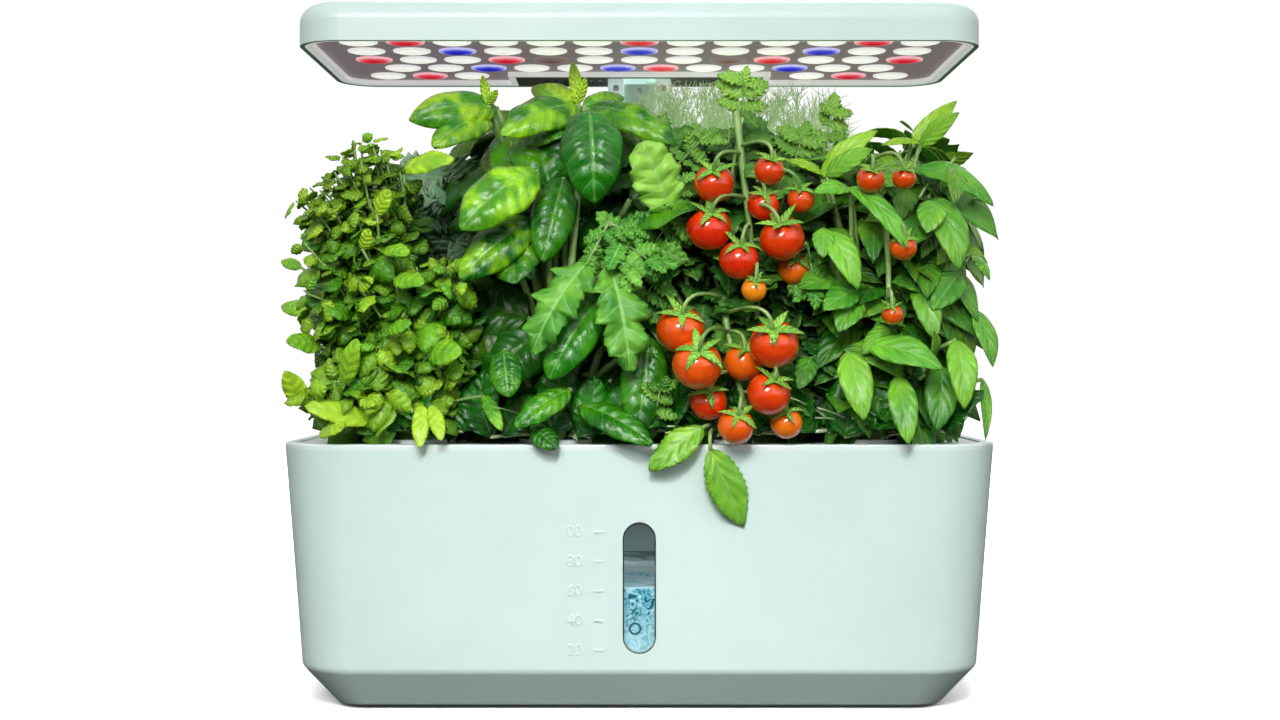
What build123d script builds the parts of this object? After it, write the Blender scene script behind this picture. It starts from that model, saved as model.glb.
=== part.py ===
"""Countertop hydroponic garden: a tapered water tank with a level window, a lift-off grow deck with
eight planted net baskets and a pump under it, and an LED lamp head on a telescoping mast.

Millimetres. +X is right, +Y is back, +Z is up. The origin is on the surface that the rubber feet
stand on, under the middle of the tank.
"""

from build123d import *
from math import atan2, cos, radians, sin, tan
import os

os.makedirs("parts", exist_ok=True)

# ---------------------------------------------------------------- tank
tank_width = 285.0  # outside, at the rim
tank_depth = 150.0
rim_radius = 29.0  # plan radius of the rim corners
tank_rise = 103.3  # underside to rim
tank_draft = 6.5  # how far each wall leans in between rim and bevel
bevel_rise = 16.0
bevel_run = 14.0
corner_shrink = 0.8  # corner radius lost for each millimetre that the wall leans in
tank_wall = 2.6
tank_floor = 3.0
bevel_fillet = 4.0
bottom_fillet = 3.0

foot_diameter = 15.0
foot_thickness = 2.4
foot_proud = 1.2
foot_spread_x = 200.0
foot_spread_y = 72.0

# level window in the front wall
window_height = 52.0
window_width = 13.0
window_centre = 50.4  # height of its middle above the surface
window_recess = 0.4
window_gap = 0.1
lens_flange = 3.2
lens_flange_thickness = 1.5
gasket_thickness = 1.0
retainer_margin = 1.8
retainer_thickness = 1.6

# raised level scale beside the window
scale_x = -14.1
scale_rise = 0.5
scale_line = 0.7
scale_steps = 5
scale_pitch = 11.7
scale_low = 26.0
tick_length = 3.6

# ---------------------------------------------------------------- grow deck
deck_lip = 2.2
deck_border = 5.0
deck_dish = 0.6
deck_edge_round = 0.9
skirt_depth = 9.0
skirt_wall = 2.0
deck_gap = 0.4  # between skirt and tank wall

pod_columns = 4
pod_rows = 2
pod_pitch_x = 62.0
pod_pitch_y = 52.0
pod_centre_y = -14.0
pod_hole = 31.0
collar_wall = 1.8
collar_drop = 6.0
basket_gap = 0.4
basket_flange = 36.0
basket_flange_thickness = 1.6
basket_depth = 44.0
basket_foot = 22.0
basket_wall = 1.2
basket_slots = 6
slot_width = 3.0
slot_length = 24.0
slot_middle = 24.0  # depth of the slots' middle under the flange
drain_holes = 5
drain_diameter = 3.2
sponge_gap = 0.3
sponge_recess = 0.8  # sponge top below the flange top
sponge_depth = 28.0

# filling hatch at the back right
hatch_x = 94.0
hatch_y = 50.0
hatch_width = 42.0
hatch_depth = 20.0
hatch_corner = 4.0
hatch_lap = 2.0  # how far the flap covers the deck round the opening
flap_thickness = 2.0
flap_gap = 0.1  # under the closed flap
flap_tab_width = 14.0
flap_tab = 3.0
barrel_radius = 2.3
barrel_gap = 0.3
hinge_pin_radius = 1.0
hinge_clearance = 0.06
ear_width = 4.0

# ---------------------------------------------------------------- mast
mast_y = 45.5
mast_width = 28.5
mast_thickness = 16.0
mast_corner = 2.0
mast_wall = 1.6
mast_fit = 0.1
slide_width = 14.2
slide_thickness = 9.6
slide_corner = 1.5
slide_wall = 1.6
slide_fit = 0.1
collar_height = 5.0
spigot_depth = 8.0
shoe_height = 12.0
stop_gap = 0.3
lamp_travel = 100.0
bracket_drop = 22.0  # bracket below the lamp's underside
slide_top_gap = 1.8  # inner mast's end below the lamp's underside
catch_drop = 5.0
catch_radius = 1.3
catch_depth = 1.2
plate_width = 50.0
plate_thickness = 2.5
plate_gap = 4.0  # lamp's underside to the bracket's plate
mast_screw_x = 10.6
mast_screw_drop = 4.0
mast_screw_head = 1.5
mast_screw_head_height = 1.0
mast_screw_radius = 0.9
mast_screw_length = 8.0

foot_block_width = 48.0
foot_block_front = 32.0
foot_block_back = 66.0
foot_block_height = 13.0
foot_block_corner = 6.0
foot_block_round = 2.0
jack_radius = 4.2
jack_bore = 2.9
jack_bore_depth = 9.0
jack_depth = 11.0
jack_pin_radius = 1.05
jack_pin_length = 7.5
jack_fit = 0.05

# plastic-thread screws, used under the mast foot and inside the lamp
screw_radius = 1.4
screw_fit = 0.05
screw_head = 2.7
screw_head_height = 1.5
screw_length = 7.0
screw_boss = 3.4
foot_screw_x = 18.5
foot_screw_y = (37.0, 60.0)
plate_screw_x = 20.0
plate_screw_y = 4.0  # either side of the mast's middle

# ---------------------------------------------------------------- lamp
lamp_gap = 159.6  # deck top to lamp underside
lamp_width = 275.4
lamp_depth = 121.2
lamp_height = 16.5
lamp_corner = 18.0
lamp_top_round = 7.5
lamp_wall = 2.0
bezel_gap = 0.2
bezel_width = 3.0
bezel_recess = 0.4
board_recess = 2.4
board_thickness = 1.6
spreader_thickness = 1.4
spreader_margin = 6.0
spreader_boss_x = 88.0
spreader_boss_y = 32.0
led_margin_x = 23.7  # lamp's side to the outermost lens's middle
led_pitch_y = 21.3
led_first_y = -44.0
led_rows = (
    "WRWWWWRWWWWRW",
    "WWBWWWBWWWBWW",
    "RWWRFWWWFRWWR",
    "WWBWWBRWWBWW",
    "WRW.......WRW",
)  # front row first: White, Red, Blue, Far red
led_pitch_x = (lamp_width - 2 * led_margin_x) / (len(led_rows[0]) - 1)
lens_diameter = 15.6
lens_rim = 0.5
lens_dome = 1.1
pocket_diameter = 6.4
pocket_height = 0.8
chip_size = 3.5
chip_height = 0.6
bay_half_width = 56.0
bay_depth = 24.0
cover_recess = 0.2
cover_thickness = 1.8
cover_screw_x = 52.0
cover_screw_y = 55.0
vent_count = 7
vent_pitch = 4.0
vent_start = 18.0  # first slot from the middle
vent_length = 15.0
vent_width = 1.8
vent_y = 49.0

button_x = 40.5
button_y = 45.5
button_pitch = 14.0
button_diameter = 10.0
button_proud = 0.8
button_travel = 0.8
button_gap = 0.2
button_lip = 1.2
button_lip_thickness = 1.2
press_gap = 0.1
switch_size = 6.0
switch_height = 3.5
plunger_radius = 1.6
plunger_height = 1.0
circuit_x = 40.5  # middle of the switch board, and of the driver board on the other side
circuit_width = 30.2
circuit_depth = 11.0
circuit_thickness = 1.6
rib_thickness = 1.6
coil_radius = 4.0
coil_height = 3.8

# ---------------------------------------------------------------- pump
pump_x = -76.0
pump_front = 28.0
pump_width = 28.0
pump_height = 30.0
pump_floor_gap = 3.0
pump_round = 4.0
impeller_radius = 9.0
impeller_width = 6.0
impeller_disc = 1.2
impeller_blades = 6
blade_thickness = 1.2
pump_play = 0.5
magnet_radius = 6.0
magnet_length = 12.0
sleeve_radius = 2.4
shaft_radius = 1.0
shaft_seat = 1.2
shaft_clearance = 0.06
can_wall = 1.4
end_wall = 1.5
stator_thickness = 3.8
stator_gap = 0.1
end_cap_thickness = 2.0
intake_thickness = 2.5
intake_slots = 3  # each side of the shaft
intake_pitch = 3.2
intake_start = 4.4
intake_slot_width = 1.6
intake_slot_length = 16.0
cage_wall = 1.4
filter_thickness = 8.0
filter_gap = 0.3
nozzle_radius = 4.0
nozzle_bore = 2.6
nozzle_rise = 12.0
riser_gap = 0.05
riser_wall = 1.5
riser_outlet = 1.6
riser_outlet_drop = 16.0
socket_wall = 1.8
socket_depth = 8.0
lead_radius = 2.0
lead_fit = 0.1
lead_gland_radius = 3.4
lead_gland_height = 5.0
lead_x = -8.0  # where the lead rises through the deck into the mast
lead_start = (8.0, 16.0)  # from the pump's axis, and behind its front
lead_bends = ((-68, 44, 60), (-62, 47, 80), (-44, 51, 90), (-22, 50, 94))
lead_bend_share = 0.45  # part of each run that the bend at its end may take
lead_top = 110.0
plug_width = 8.0
plug_depth = 6.0
plug_height = 7.0

# ---------------------------------------------------------------- plants
stem_radius = 2.4
stem_root = 8.0  # stem end below the flange underside
plant_gap = 0.3  # half the space between neighbours
plant_reach = 151.0  # outermost leaves, from the middle
crown_round = 16.0
crown_top_round = 15.2
crown_low_round = 8.0
canopy_round = 42.0  # plan radius of the whole foliage's four outer corners
crown_mast_gap = 1.2
# name: pod column, pod row, underside, top, front, back of the foliage
plants = {
    "balm_plant": (0, 0, 111.0, 232.0, -80.0, None),
    "chard_plant": (1, 0, 111.0, 262.0, -86.0, None),
    "tomato_plant": (2, 0, 111.0, 262.0, -78.0, None),
    "pepper_plant": (3, 0, 111.0, 246.0, -80.0, None),
    "kale_plant": (0, 1, 122.0, 237.0, None, 62.0),
    "basil_plant": (1, 1, 122.0, 263.0, None, 58.0),
    "dill_plant": (2, 1, 122.0, 260.0, None, 58.0),
    "thai_basil_plant": (3, 1, 142.0, 250.0, None, 62.0),
}
fruit_gap = 0.15
# x, y, z and radius of each fruit, truss by truss
fruits = (
    (29, -74, 208, 8.0), (50.5, -74, 213, 6.0), (48.5, -70, 200, 6.5), (63, -72, 202, 5.5),
    (27, -74, 190.5, 9.0), (55.5, -75, 186.5, 9.0), (38.5, -78, 178, 8.0), (61, -65, 175, 6.5),
    (44, -82, 166.5, 5.0),
    (16, -74, 151, 9.7), (51.5, -86, 145.5, 9.7), (22, -87, 137.5, 9.7), (40.5, -74, 138.5, 7.8),
    (27, -74, 123, 7.4), (49.5, -84, 126.5, 8.6), (37, -83, 114, 7.2), (57, -76, 115, 6.4),
    (102, -80, 209.5, 4.7), (89, -80, 209, 5.5), (101.5, -80, 183, 5.5), (97.5, -80, 157, 4.3),
)
leaf_clear = 2.0  # between the rim and the leaves that hang over it
leaf_y = -tank_depth / 2 - leaf_clear
leaf_thickness = 1.4
leaf_top = 114.3
petiole_width = 2.4
# base x, base z, tip x, tip z and half width of each leaf that hangs over the rim
trailing = ((23.0, 111.0, 5.0, 98.0, 6.0), (27.5, 104.0, 41.0, 75.0, 7.5))

# ---------------------------------------------------------------- levels and places that follow
shell_bottom = foot_proud
bevel_top = shell_bottom + bevel_rise
rim_top = shell_bottom + tank_rise
floor_top = shell_bottom + tank_floor
deck_top = rim_top + deck_lip
dish_top = deck_top - deck_dish
lamp_bottom = deck_top + lamp_gap
lamp_top = lamp_bottom + lamp_height
board_bottom = lamp_bottom + board_recess
board_top = board_bottom + board_thickness
spreader_top = board_top + spreader_thickness
ceiling = lamp_top - lamp_wall
lamp_back = lamp_depth / 2 - lamp_wall
bay_front = lamp_back - bay_depth
pod_xs = [pod_pitch_x * (column - (pod_columns - 1) / 2) for column in range(pod_columns)]
pod_ys = [pod_centre_y + pod_pitch_y * (row - (pod_rows - 1) / 2) for row in range(pod_rows)]
pod_spots = [(x, y) for y in pod_ys for x in pod_xs]


def finish(builder, name):
    """Label a finished piece and write it to its STEP file."""
    builder.part.label = name
    export_step(builder.part, f"parts/{name}.step")


def at_height(z, slack=0.05):
    """Selector for edges whose middle lies at height z."""
    return lambda edge: abs(edge.center().Z - z) < slack


# ================================================================ tank
def tank_lean(z):
    """How far the tank's outer wall stands in from the rim outline at height z."""
    if z < bevel_top:
        return tank_draft + bevel_run * (bevel_top - z) / bevel_rise
    return tank_draft * (rim_top - z) / (rim_top - bevel_top)


def tank_outline(z, inset=0.0):
    """Rounded rectangle of the tank at height z, moved in by inset."""
    lean = tank_lean(z)
    RectangleRounded(
        tank_width - 2 * (lean + inset),
        tank_depth - 2 * (lean + inset),
        rim_radius - corner_shrink * lean - inset,
    )


wall_angle = atan2(tank_draft, rim_top - bevel_top)


def wall_plane(z):
    """Plane on the outside of the front wall at height z, facing out, its y axis up the wall."""
    return Plane(
        origin=(0, tank_lean(z) - tank_depth / 2, z),
        x_dir=(1, 0, 0),
        z_dir=(0, -cos(wall_angle), -sin(wall_angle)),
    )


window_plane = wall_plane(window_centre)


def window_slot(margin):
    """Upright slot outline of the level window, grown all round by margin."""
    SlotOverall(window_height + 2 * margin, window_width + 2 * margin, rotation=90)


with BuildPart() as tank_shell:
    for level in (shell_bottom, bevel_top, rim_top):
        with BuildSketch(Plane.XY.offset(level)):
            tank_outline(level)
    loft(ruled=True)
    fillet(tank_shell.edges().filter_by(at_height(bevel_top)), bevel_fillet)
    fillet(tank_shell.edges().filter_by(at_height(shell_bottom)), bottom_fillet)
    for level in (floor_top, bevel_top, rim_top):
        with BuildSketch(Plane.XY.offset(level)):
            tank_outline(level, tank_wall)
    loft(ruled=True, mode=Mode.SUBTRACT)
    with BuildSketch(Plane.XY.offset(shell_bottom)):
        with GridLocations(foot_spread_x, foot_spread_y, 2, 2):
            Circle(foot_diameter / 2)
    extrude(amount=foot_thickness - foot_proud, mode=Mode.SUBTRACT)
    with BuildSketch(window_plane):
        window_slot(0)
    extrude(amount=-3 * tank_wall, mode=Mode.SUBTRACT)
    scale_height = scale_pitch * (scale_steps - 1)
    with BuildSketch(wall_plane(scale_low).offset(-tank_wall / 2)):
        with Locations((scale_x, scale_height / 2)):
            Rectangle(scale_line, scale_height + scale_line)
        for step in range(scale_steps):
            with Locations((scale_x - tick_length / 2, step * scale_pitch)):
                Rectangle(tick_length, scale_line)
    extrude(amount=tank_wall / 2 + scale_rise)
finish(tank_shell, "tank_shell")

flange_front = -tank_wall - gasket_thickness
lens_back = flange_front - lens_flange_thickness

with BuildPart() as level_window:
    with BuildSketch(window_plane.offset(flange_front)):
        window_slot(-window_gap)
    extrude(amount=-flange_front - window_recess)
    with BuildSketch(window_plane.offset(flange_front)):
        window_slot(lens_flange)
    extrude(amount=-lens_flange_thickness)
finish(level_window, "level_window")

with BuildPart() as window_gasket:
    with BuildSketch(window_plane.offset(flange_front)):
        window_slot(lens_flange)
        with BuildSketch(mode=Mode.SUBTRACT):
            window_slot(0)
    extrude(amount=gasket_thickness)
finish(window_gasket, "window_gasket")

with BuildPart() as window_retainer:
    with BuildSketch(window_plane.offset(lens_back)):
        window_slot(lens_flange + retainer_margin)
        with BuildSketch(mode=Mode.SUBTRACT):
            window_slot(0)
    extrude(amount=-retainer_thickness)
    with BuildSketch(window_plane.offset(lens_back)):
        window_slot(lens_flange + retainer_margin)
        with BuildSketch(mode=Mode.SUBTRACT):
            window_slot(lens_flange + window_gap)
    extrude(amount=lens_flange_thickness + gasket_thickness)
finish(window_retainer, "window_retainer")

with BuildPart() as rubber_feet:
    with BuildSketch():
        with GridLocations(foot_spread_x, foot_spread_y, 2, 2):
            Circle(foot_diameter / 2)
    extrude(amount=foot_thickness)
finish(rubber_feet, "rubber_feet")

# ================================================================ grow deck
flap_width = hatch_width + 2 * hatch_lap
flap_back = hatch_y + hatch_depth / 2 + hatch_lap
flap_bottom = dish_top + flap_gap
hinge_y = flap_back + barrel_radius + barrel_gap
hinge_z = dish_top + barrel_radius + barrel_gap
barrel_length = flap_width - 2 * (ear_width + barrel_gap)
ear_x = barrel_length / 2 + barrel_gap + ear_width / 2

riser_y = pump_front + impeller_width / 2 + pump_play
riser_radius = nozzle_radius + riser_gap + riser_wall
foot_screw_spots = [(side * foot_screw_x, y) for side in (-1, 1) for y in foot_screw_y]

with BuildPart() as grow_deck:
    with BuildSketch(Plane.XY.offset(rim_top)):
        tank_outline(rim_top)
    extrude(amount=deck_lip)
    fillet(grow_deck.edges().filter_by(at_height(deck_top)), deck_edge_round)
    with BuildSketch(Plane.XY.offset(deck_top)):
        tank_outline(rim_top, deck_border)
    extrude(amount=-deck_dish, mode=Mode.SUBTRACT)
    for level in (rim_top - skirt_depth, rim_top):
        with BuildSketch(Plane.XY.offset(level)):
            tank_outline(level, tank_wall + deck_gap)
    loft(ruled=True)
    for level in (rim_top - skirt_depth, rim_top):
        with BuildSketch(Plane.XY.offset(level)):
            tank_outline(level, tank_wall + deck_gap + skirt_wall)
    loft(ruled=True, mode=Mode.SUBTRACT)
    with BuildSketch(Plane.XY.offset(rim_top)):
        with Locations(*pod_spots):
            Circle(pod_hole / 2 + collar_wall)
    extrude(amount=-collar_drop)
    with BuildSketch(Plane.XY.offset(rim_top)):
        with Locations((pump_x, riser_y)):
            Circle(riser_radius + mast_fit + socket_wall)
    extrude(amount=-socket_depth)
    with BuildSketch(Plane.XY.offset(rim_top)):
        with Locations((pump_x, riser_y)):
            Circle(riser_radius + mast_fit)
    extrude(amount=-socket_depth, mode=Mode.SUBTRACT)
    with BuildSketch(Plane.XY.offset(deck_top)):
        with Locations(*pod_spots):
            Circle(pod_hole / 2)
        with Locations((hatch_x, hatch_y)):
            RectangleRounded(hatch_width, hatch_depth, hatch_corner)
        with Locations((lead_x, mast_y)):
            Circle(lead_radius + lead_fit)
        with Locations(*foot_screw_spots):
            Circle(screw_radius + screw_fit)
    extrude(amount=-deck_lip - collar_drop, mode=Mode.SUBTRACT)
    for side in (-1, 1):
        with BuildSketch(Plane.YZ.offset(hatch_x + side * ear_x)):
            with Locations((hinge_y, hinge_z)):
                Circle(barrel_radius)
            with Locations((hinge_y, (hinge_z + rim_top) / 2)):
                Rectangle(2 * barrel_radius, hinge_z - rim_top)
            with Locations((hinge_y, hinge_z)):
                Circle(hinge_pin_radius + hinge_clearance, mode=Mode.SUBTRACT)
        extrude(amount=ear_width / 2, both=True)
finish(grow_deck, "grow_deck")

with BuildPart() as fill_flap:
    with BuildSketch(Plane.XY.offset(flap_bottom)):
        with Locations((hatch_x, hatch_y)):
            RectangleRounded(flap_width, hatch_depth + 2 * hatch_lap, hatch_corner)
        with Locations((hatch_x, hatch_y - hatch_depth / 2 - hatch_lap)):
            SlotOverall(flap_tab_width, 2 * flap_tab)
        with Locations((hatch_x, (flap_back + hinge_y) / 2)):
            Rectangle(barrel_length, hinge_y - flap_back + 2 * hatch_lap)
    extrude(amount=flap_thickness)
    with BuildSketch(Plane.YZ.offset(hatch_x)):
        with Locations((hinge_y, hinge_z)):
            Circle(barrel_radius)
    extrude(amount=barrel_length / 2, both=True)
    with BuildSketch(Plane.YZ.offset(hatch_x)):
        with Locations((hinge_y, hinge_z)):
            Circle(hinge_pin_radius + hinge_clearance)
    extrude(amount=barrel_length / 2, both=True, mode=Mode.SUBTRACT)
    with BuildSketch(Plane.YZ.offset(hatch_x)):
        with Locations((hinge_y + barrel_radius, flap_bottom + flap_thickness / 2)):
            Rectangle(2 * barrel_radius, flap_thickness)
        with Locations((hinge_y, hinge_z)):
            Circle(barrel_radius, mode=Mode.SUBTRACT)
    extrude(amount=flap_width, both=True, mode=Mode.SUBTRACT)
finish(fill_flap, "fill_flap")

with BuildPart() as flap_pin:
    with BuildSketch(Plane.YZ.offset(hatch_x)):
        with Locations((hinge_y, hinge_z)):
            Circle(hinge_pin_radius)
    extrude(amount=ear_x + ear_width / 2, both=True)
finish(flap_pin, "flap_pin")

# ================================================================ baskets and sponges
neck_radius = pod_hole / 2 - basket_gap
basket_lean = (neck_radius - basket_foot / 2) / basket_depth
inner_neck = neck_radius - basket_wall
inner_foot = basket_foot / 2 - basket_wall

with BuildPart() as basket:
    with BuildSketch(Plane.XZ):
        with BuildLine():
            Polyline(
                (0, -basket_depth),
                (basket_foot / 2, -basket_depth),
                (neck_radius, 0),
                (basket_flange / 2, 0),
                (basket_flange / 2, basket_flange_thickness),
                (inner_neck, basket_flange_thickness),
                (inner_neck, 0),
                (inner_foot, basket_wall - basket_depth),
                (0, basket_wall - basket_depth),
                close=True,
            )
        make_face()
    revolve(axis=Axis.Z)
    with Locations((0, 0, -slot_middle)):
        with PolarLocations(neck_radius - slot_middle * basket_lean, basket_slots):
            Box(4 * basket_wall + slot_length * basket_lean, slot_width, slot_length, mode=Mode.SUBTRACT)
    with BuildSketch(Plane.XY.offset(-basket_depth)):
        with PolarLocations(basket_foot / 4, drain_holes):
            Circle(drain_diameter / 2)
    extrude(amount=basket_wall, mode=Mode.SUBTRACT)

with BuildPart(Plane.XY.offset(dish_top)) as net_baskets:
    with Locations(*pod_spots):
        add(basket.part)
finish(net_baskets, "net_baskets")

sponge_top = basket_flange_thickness - sponge_recess
stem_hole = stem_radius + sponge_gap

with BuildPart() as sponge:
    with BuildSketch(Plane.XZ):
        with BuildLine():
            Polyline(
                (0, -sponge_depth),
                (inner_neck - sponge_gap - basket_lean * sponge_depth, -sponge_depth),
                (inner_neck - sponge_gap, 0),
                (inner_neck - sponge_gap, sponge_top),
                (stem_hole, sponge_top),
                (stem_hole, -stem_root - sponge_gap),
                (0, -stem_root - sponge_gap),
                close=True,
            )
        make_face()
    revolve(axis=Axis.Z)

with BuildPart(Plane.XY.offset(dish_top)) as seed_sponges:
    with Locations(*pod_spots):
        add(sponge.part)
finish(seed_sponges, "seed_sponges")

# ================================================================ mast
foot_block_middle = (foot_block_front + foot_block_back) / 2
foot_block_top = dish_top + foot_block_height
mast_top = lamp_bottom - bracket_drop - stop_gap
slide_top = lamp_bottom - slide_top_gap
slide_bottom = mast_top - collar_height - spigot_depth - shoe_height - stop_gap - lamp_travel
jack_z = dish_top + foot_block_height / 2


def mast_section(grow=0.0):
    """Rounded section of the outer mast, grown all round by grow."""
    with Locations((0, mast_y)):
        RectangleRounded(mast_width + 2 * grow, mast_thickness + 2 * grow, mast_corner + grow)


def mast_inside(gap=0.0, mode=Mode.ADD):
    """Rounded section of the outer mast's inside, moved in by gap."""
    inset = mast_wall + gap
    with Locations((0, mast_y)):
        RectangleRounded(
            mast_width - 2 * inset, mast_thickness - 2 * inset, mast_corner - mast_wall, mode=mode
        )


def slide_section(grow=0.0, mode=Mode.ADD):
    """Rounded section of the inner mast, grown all round by grow."""
    with Locations((0, mast_y)):
        RectangleRounded(
            slide_width + 2 * grow, slide_thickness + 2 * grow, slide_corner + grow, mode=mode
        )


with BuildPart() as mast_foot:
    with BuildSketch(Plane.XY.offset(dish_top)):
        with Locations((0, foot_block_middle)):
            RectangleRounded(foot_block_width, foot_block_back - foot_block_front, foot_block_corner)
    extrude(amount=foot_block_height)
    fillet(mast_foot.edges().filter_by(at_height(foot_block_top)), foot_block_round)
    with BuildSketch(Plane.XY.offset(dish_top)):
        mast_section(mast_fit)
    extrude(amount=foot_block_height, mode=Mode.SUBTRACT)
    with BuildSketch(Plane.XY.offset(dish_top)):
        with Locations(*foot_screw_spots):
            Circle(screw_radius + screw_fit)
    extrude(amount=screw_length, mode=Mode.SUBTRACT)
    with BuildSketch(Plane.XZ.offset(-foot_block_back)):
        with Locations((0, jack_z)):
            Circle(jack_radius + jack_fit)
    extrude(amount=foot_block_back - mast_y, mode=Mode.SUBTRACT)
finish(mast_foot, "mast_foot")

with BuildPart() as foot_screws:
    with BuildSketch(Plane.XY.offset(rim_top)):
        with Locations(*foot_screw_spots):
            Circle(screw_head)
    extrude(amount=-screw_head_height)
    with BuildSketch(Plane.XY.offset(rim_top)):
        with Locations(*foot_screw_spots):
            Circle(screw_radius)
    extrude(amount=screw_length)
finish(foot_screws, "foot_screws")

with BuildPart() as dc_jack:
    with BuildSketch(Plane.XZ.offset(-foot_block_back)):
        with Locations((0, jack_z)):
            Circle(jack_radius)
    extrude(amount=jack_depth)
    with BuildSketch(Plane.XZ.offset(-foot_block_back)):
        with Locations((0, jack_z)):
            Circle(jack_bore)
    extrude(amount=jack_bore_depth, mode=Mode.SUBTRACT)
    with BuildSketch(Plane.XZ.offset(jack_depth - foot_block_back)):
        with Locations((0, jack_z)):
            Circle(jack_pin_radius)
    extrude(amount=-(jack_depth - jack_bore_depth + jack_pin_length))
finish(dc_jack, "dc_jack")

with BuildPart() as outer_mast:
    with BuildSketch(Plane.XY.offset(dish_top)):
        mast_section()
        mast_inside(0, Mode.SUBTRACT)
    extrude(amount=mast_top - collar_height - dish_top)
finish(outer_mast, "outer_mast")

with BuildPart() as mast_collar:
    with BuildSketch(Plane.XY.offset(mast_top - collar_height)):
        mast_section()
        slide_section(slide_fit, Mode.SUBTRACT)
    extrude(amount=collar_height)
    with BuildSketch(Plane.XY.offset(mast_top - collar_height)):
        mast_inside(mast_fit)
        slide_section(slide_fit, Mode.SUBTRACT)
    extrude(amount=-spigot_depth)
    fillet(mast_collar.edges().filter_by(at_height(mast_top)).group_by(SortBy.LENGTH)[-1], 0.6)
finish(mast_collar, "mast_collar")

with BuildPart() as inner_mast:
    with BuildSketch(Plane.XY.offset(slide_bottom)):
        slide_section()
        with Locations((0, mast_y)):
            Rectangle(
                slide_width - 2 * slide_wall, slide_thickness - 2 * slide_wall, mode=Mode.SUBTRACT
            )
    extrude(amount=slide_top - slide_bottom)
    with BuildSketch(Plane.XZ.offset(slide_thickness / 2 - mast_y)):
        with Locations((0, lamp_bottom - catch_drop)):
            Circle(catch_radius)
    extrude(amount=-catch_depth, mode=Mode.SUBTRACT)
finish(inner_mast, "inner_mast")

with BuildPart() as slide_shoe:
    with BuildSketch(Plane.XY.offset(slide_bottom)):
        mast_inside(slide_fit)
        slide_section(0, Mode.SUBTRACT)
    extrude(amount=shoe_height)
finish(slide_shoe, "slide_shoe")

plate_bottom = lamp_bottom + plate_gap
plate_top = plate_bottom + plate_thickness
plate_screw_spots = [
    (side_x * plate_screw_x, mast_y + side_y * plate_screw_y) for side_x in (-1, 1) for side_y in (-1, 1)
]
mast_screw_spots = [(side * mast_screw_x, lamp_bottom - mast_screw_drop) for side in (-1, 1)]
mast_front = Plane.XZ.offset(mast_thickness / 2 - mast_y)
slot_depth = (mast_thickness + slide_thickness) / 2 + slide_fit

with BuildPart() as lamp_bracket:
    with BuildSketch(Plane.XY.offset(lamp_bottom - bracket_drop)):
        mast_section()
        with Locations((0, mast_y - mast_thickness / 2 + slot_depth / 2)):
            Rectangle(slide_width + 2 * slide_fit, slot_depth, mode=Mode.SUBTRACT)
    extrude(amount=bracket_drop + plate_gap)
    with BuildSketch(Plane.XY.offset(plate_bottom)):
        with Locations((0, mast_y)):
            RectangleRounded(plate_width, mast_thickness, mast_corner)
        with Locations(*plate_screw_spots):
            Circle(screw_radius + screw_fit, mode=Mode.SUBTRACT)
    extrude(amount=plate_thickness)
    with BuildSketch(mast_front):
        with Locations(*mast_screw_spots):
            Circle(mast_screw_head + screw_fit)
    extrude(amount=-mast_screw_head_height, mode=Mode.SUBTRACT)
    with BuildSketch(mast_front):
        with Locations(*mast_screw_spots):
            Circle(mast_screw_radius + screw_fit)
    extrude(amount=-mast_screw_length, mode=Mode.SUBTRACT)
finish(lamp_bracket, "lamp_bracket")

with BuildPart() as bracket_screws:
    with BuildSketch(mast_front):
        with Locations(*mast_screw_spots):
            Circle(mast_screw_head)
            RegularPolygon(mast_screw_head / 2, 6, mode=Mode.SUBTRACT)
    extrude(amount=-mast_screw_head_height)
    with BuildSketch(mast_front.offset(-mast_screw_head_height / 2)):
        with Locations(*mast_screw_spots):
            Circle(mast_screw_radius)
    extrude(amount=mast_screw_head_height / 2 - mast_screw_length)
finish(bracket_screws, "bracket_screws")

with BuildPart() as plate_screws:
    with BuildSketch(Plane.XY.offset(plate_bottom)):
        with Locations(*plate_screw_spots):
            Circle(screw_head)
    extrude(amount=-screw_head_height)
    with BuildSketch(Plane.XY.offset(plate_bottom)):
        with Locations(*plate_screw_spots):
            Circle(screw_radius)
    extrude(amount=screw_length)
finish(plate_screws, "plate_screws")

# ================================================================ lamp
button_spots = [(button_x + side * button_pitch / 2, button_y) for side in (-1, 1)]
cap_bottom = ceiling - press_gap - button_lip_thickness
plunger_top = cap_bottom - button_travel - press_gap
switch_bottom = plunger_top - plunger_height - switch_height
circuit_top = switch_bottom
circuit_bottom = circuit_top - circuit_thickness
rib_spots = [
    (side * circuit_x + edge * (circuit_width - rib_thickness) / 2, button_y)
    for side in (-1, 1)
    for edge in (-1, 1)
]
cover_screw_spots = [(side * cover_screw_x, cover_screw_y) for side in (-1, 1)]
cover_bottom = lamp_bottom + cover_recess
cover_top = cover_bottom + cover_thickness


def lamp_outline(inset):
    """Rounded outline of the lamp, moved in by inset."""
    RectangleRounded(lamp_width - 2 * inset, lamp_depth - 2 * inset, lamp_corner - inset)


def bay_area(grow):
    """Rectangle over the middle of the lamp's back, grown by grow at its front and sides."""
    with Locations((0, (bay_front - grow + lamp_depth) / 2)):
        Rectangle(2 * (bay_half_width + grow), lamp_depth - bay_front + grow)


with BuildPart() as lamp_hollow:
    with BuildSketch(Plane.XY.offset(lamp_bottom)):
        lamp_outline(lamp_wall)
    extrude(amount=lamp_height - lamp_wall)
    fillet(lamp_hollow.edges().filter_by(at_height(ceiling)), lamp_top_round - lamp_wall)

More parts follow.
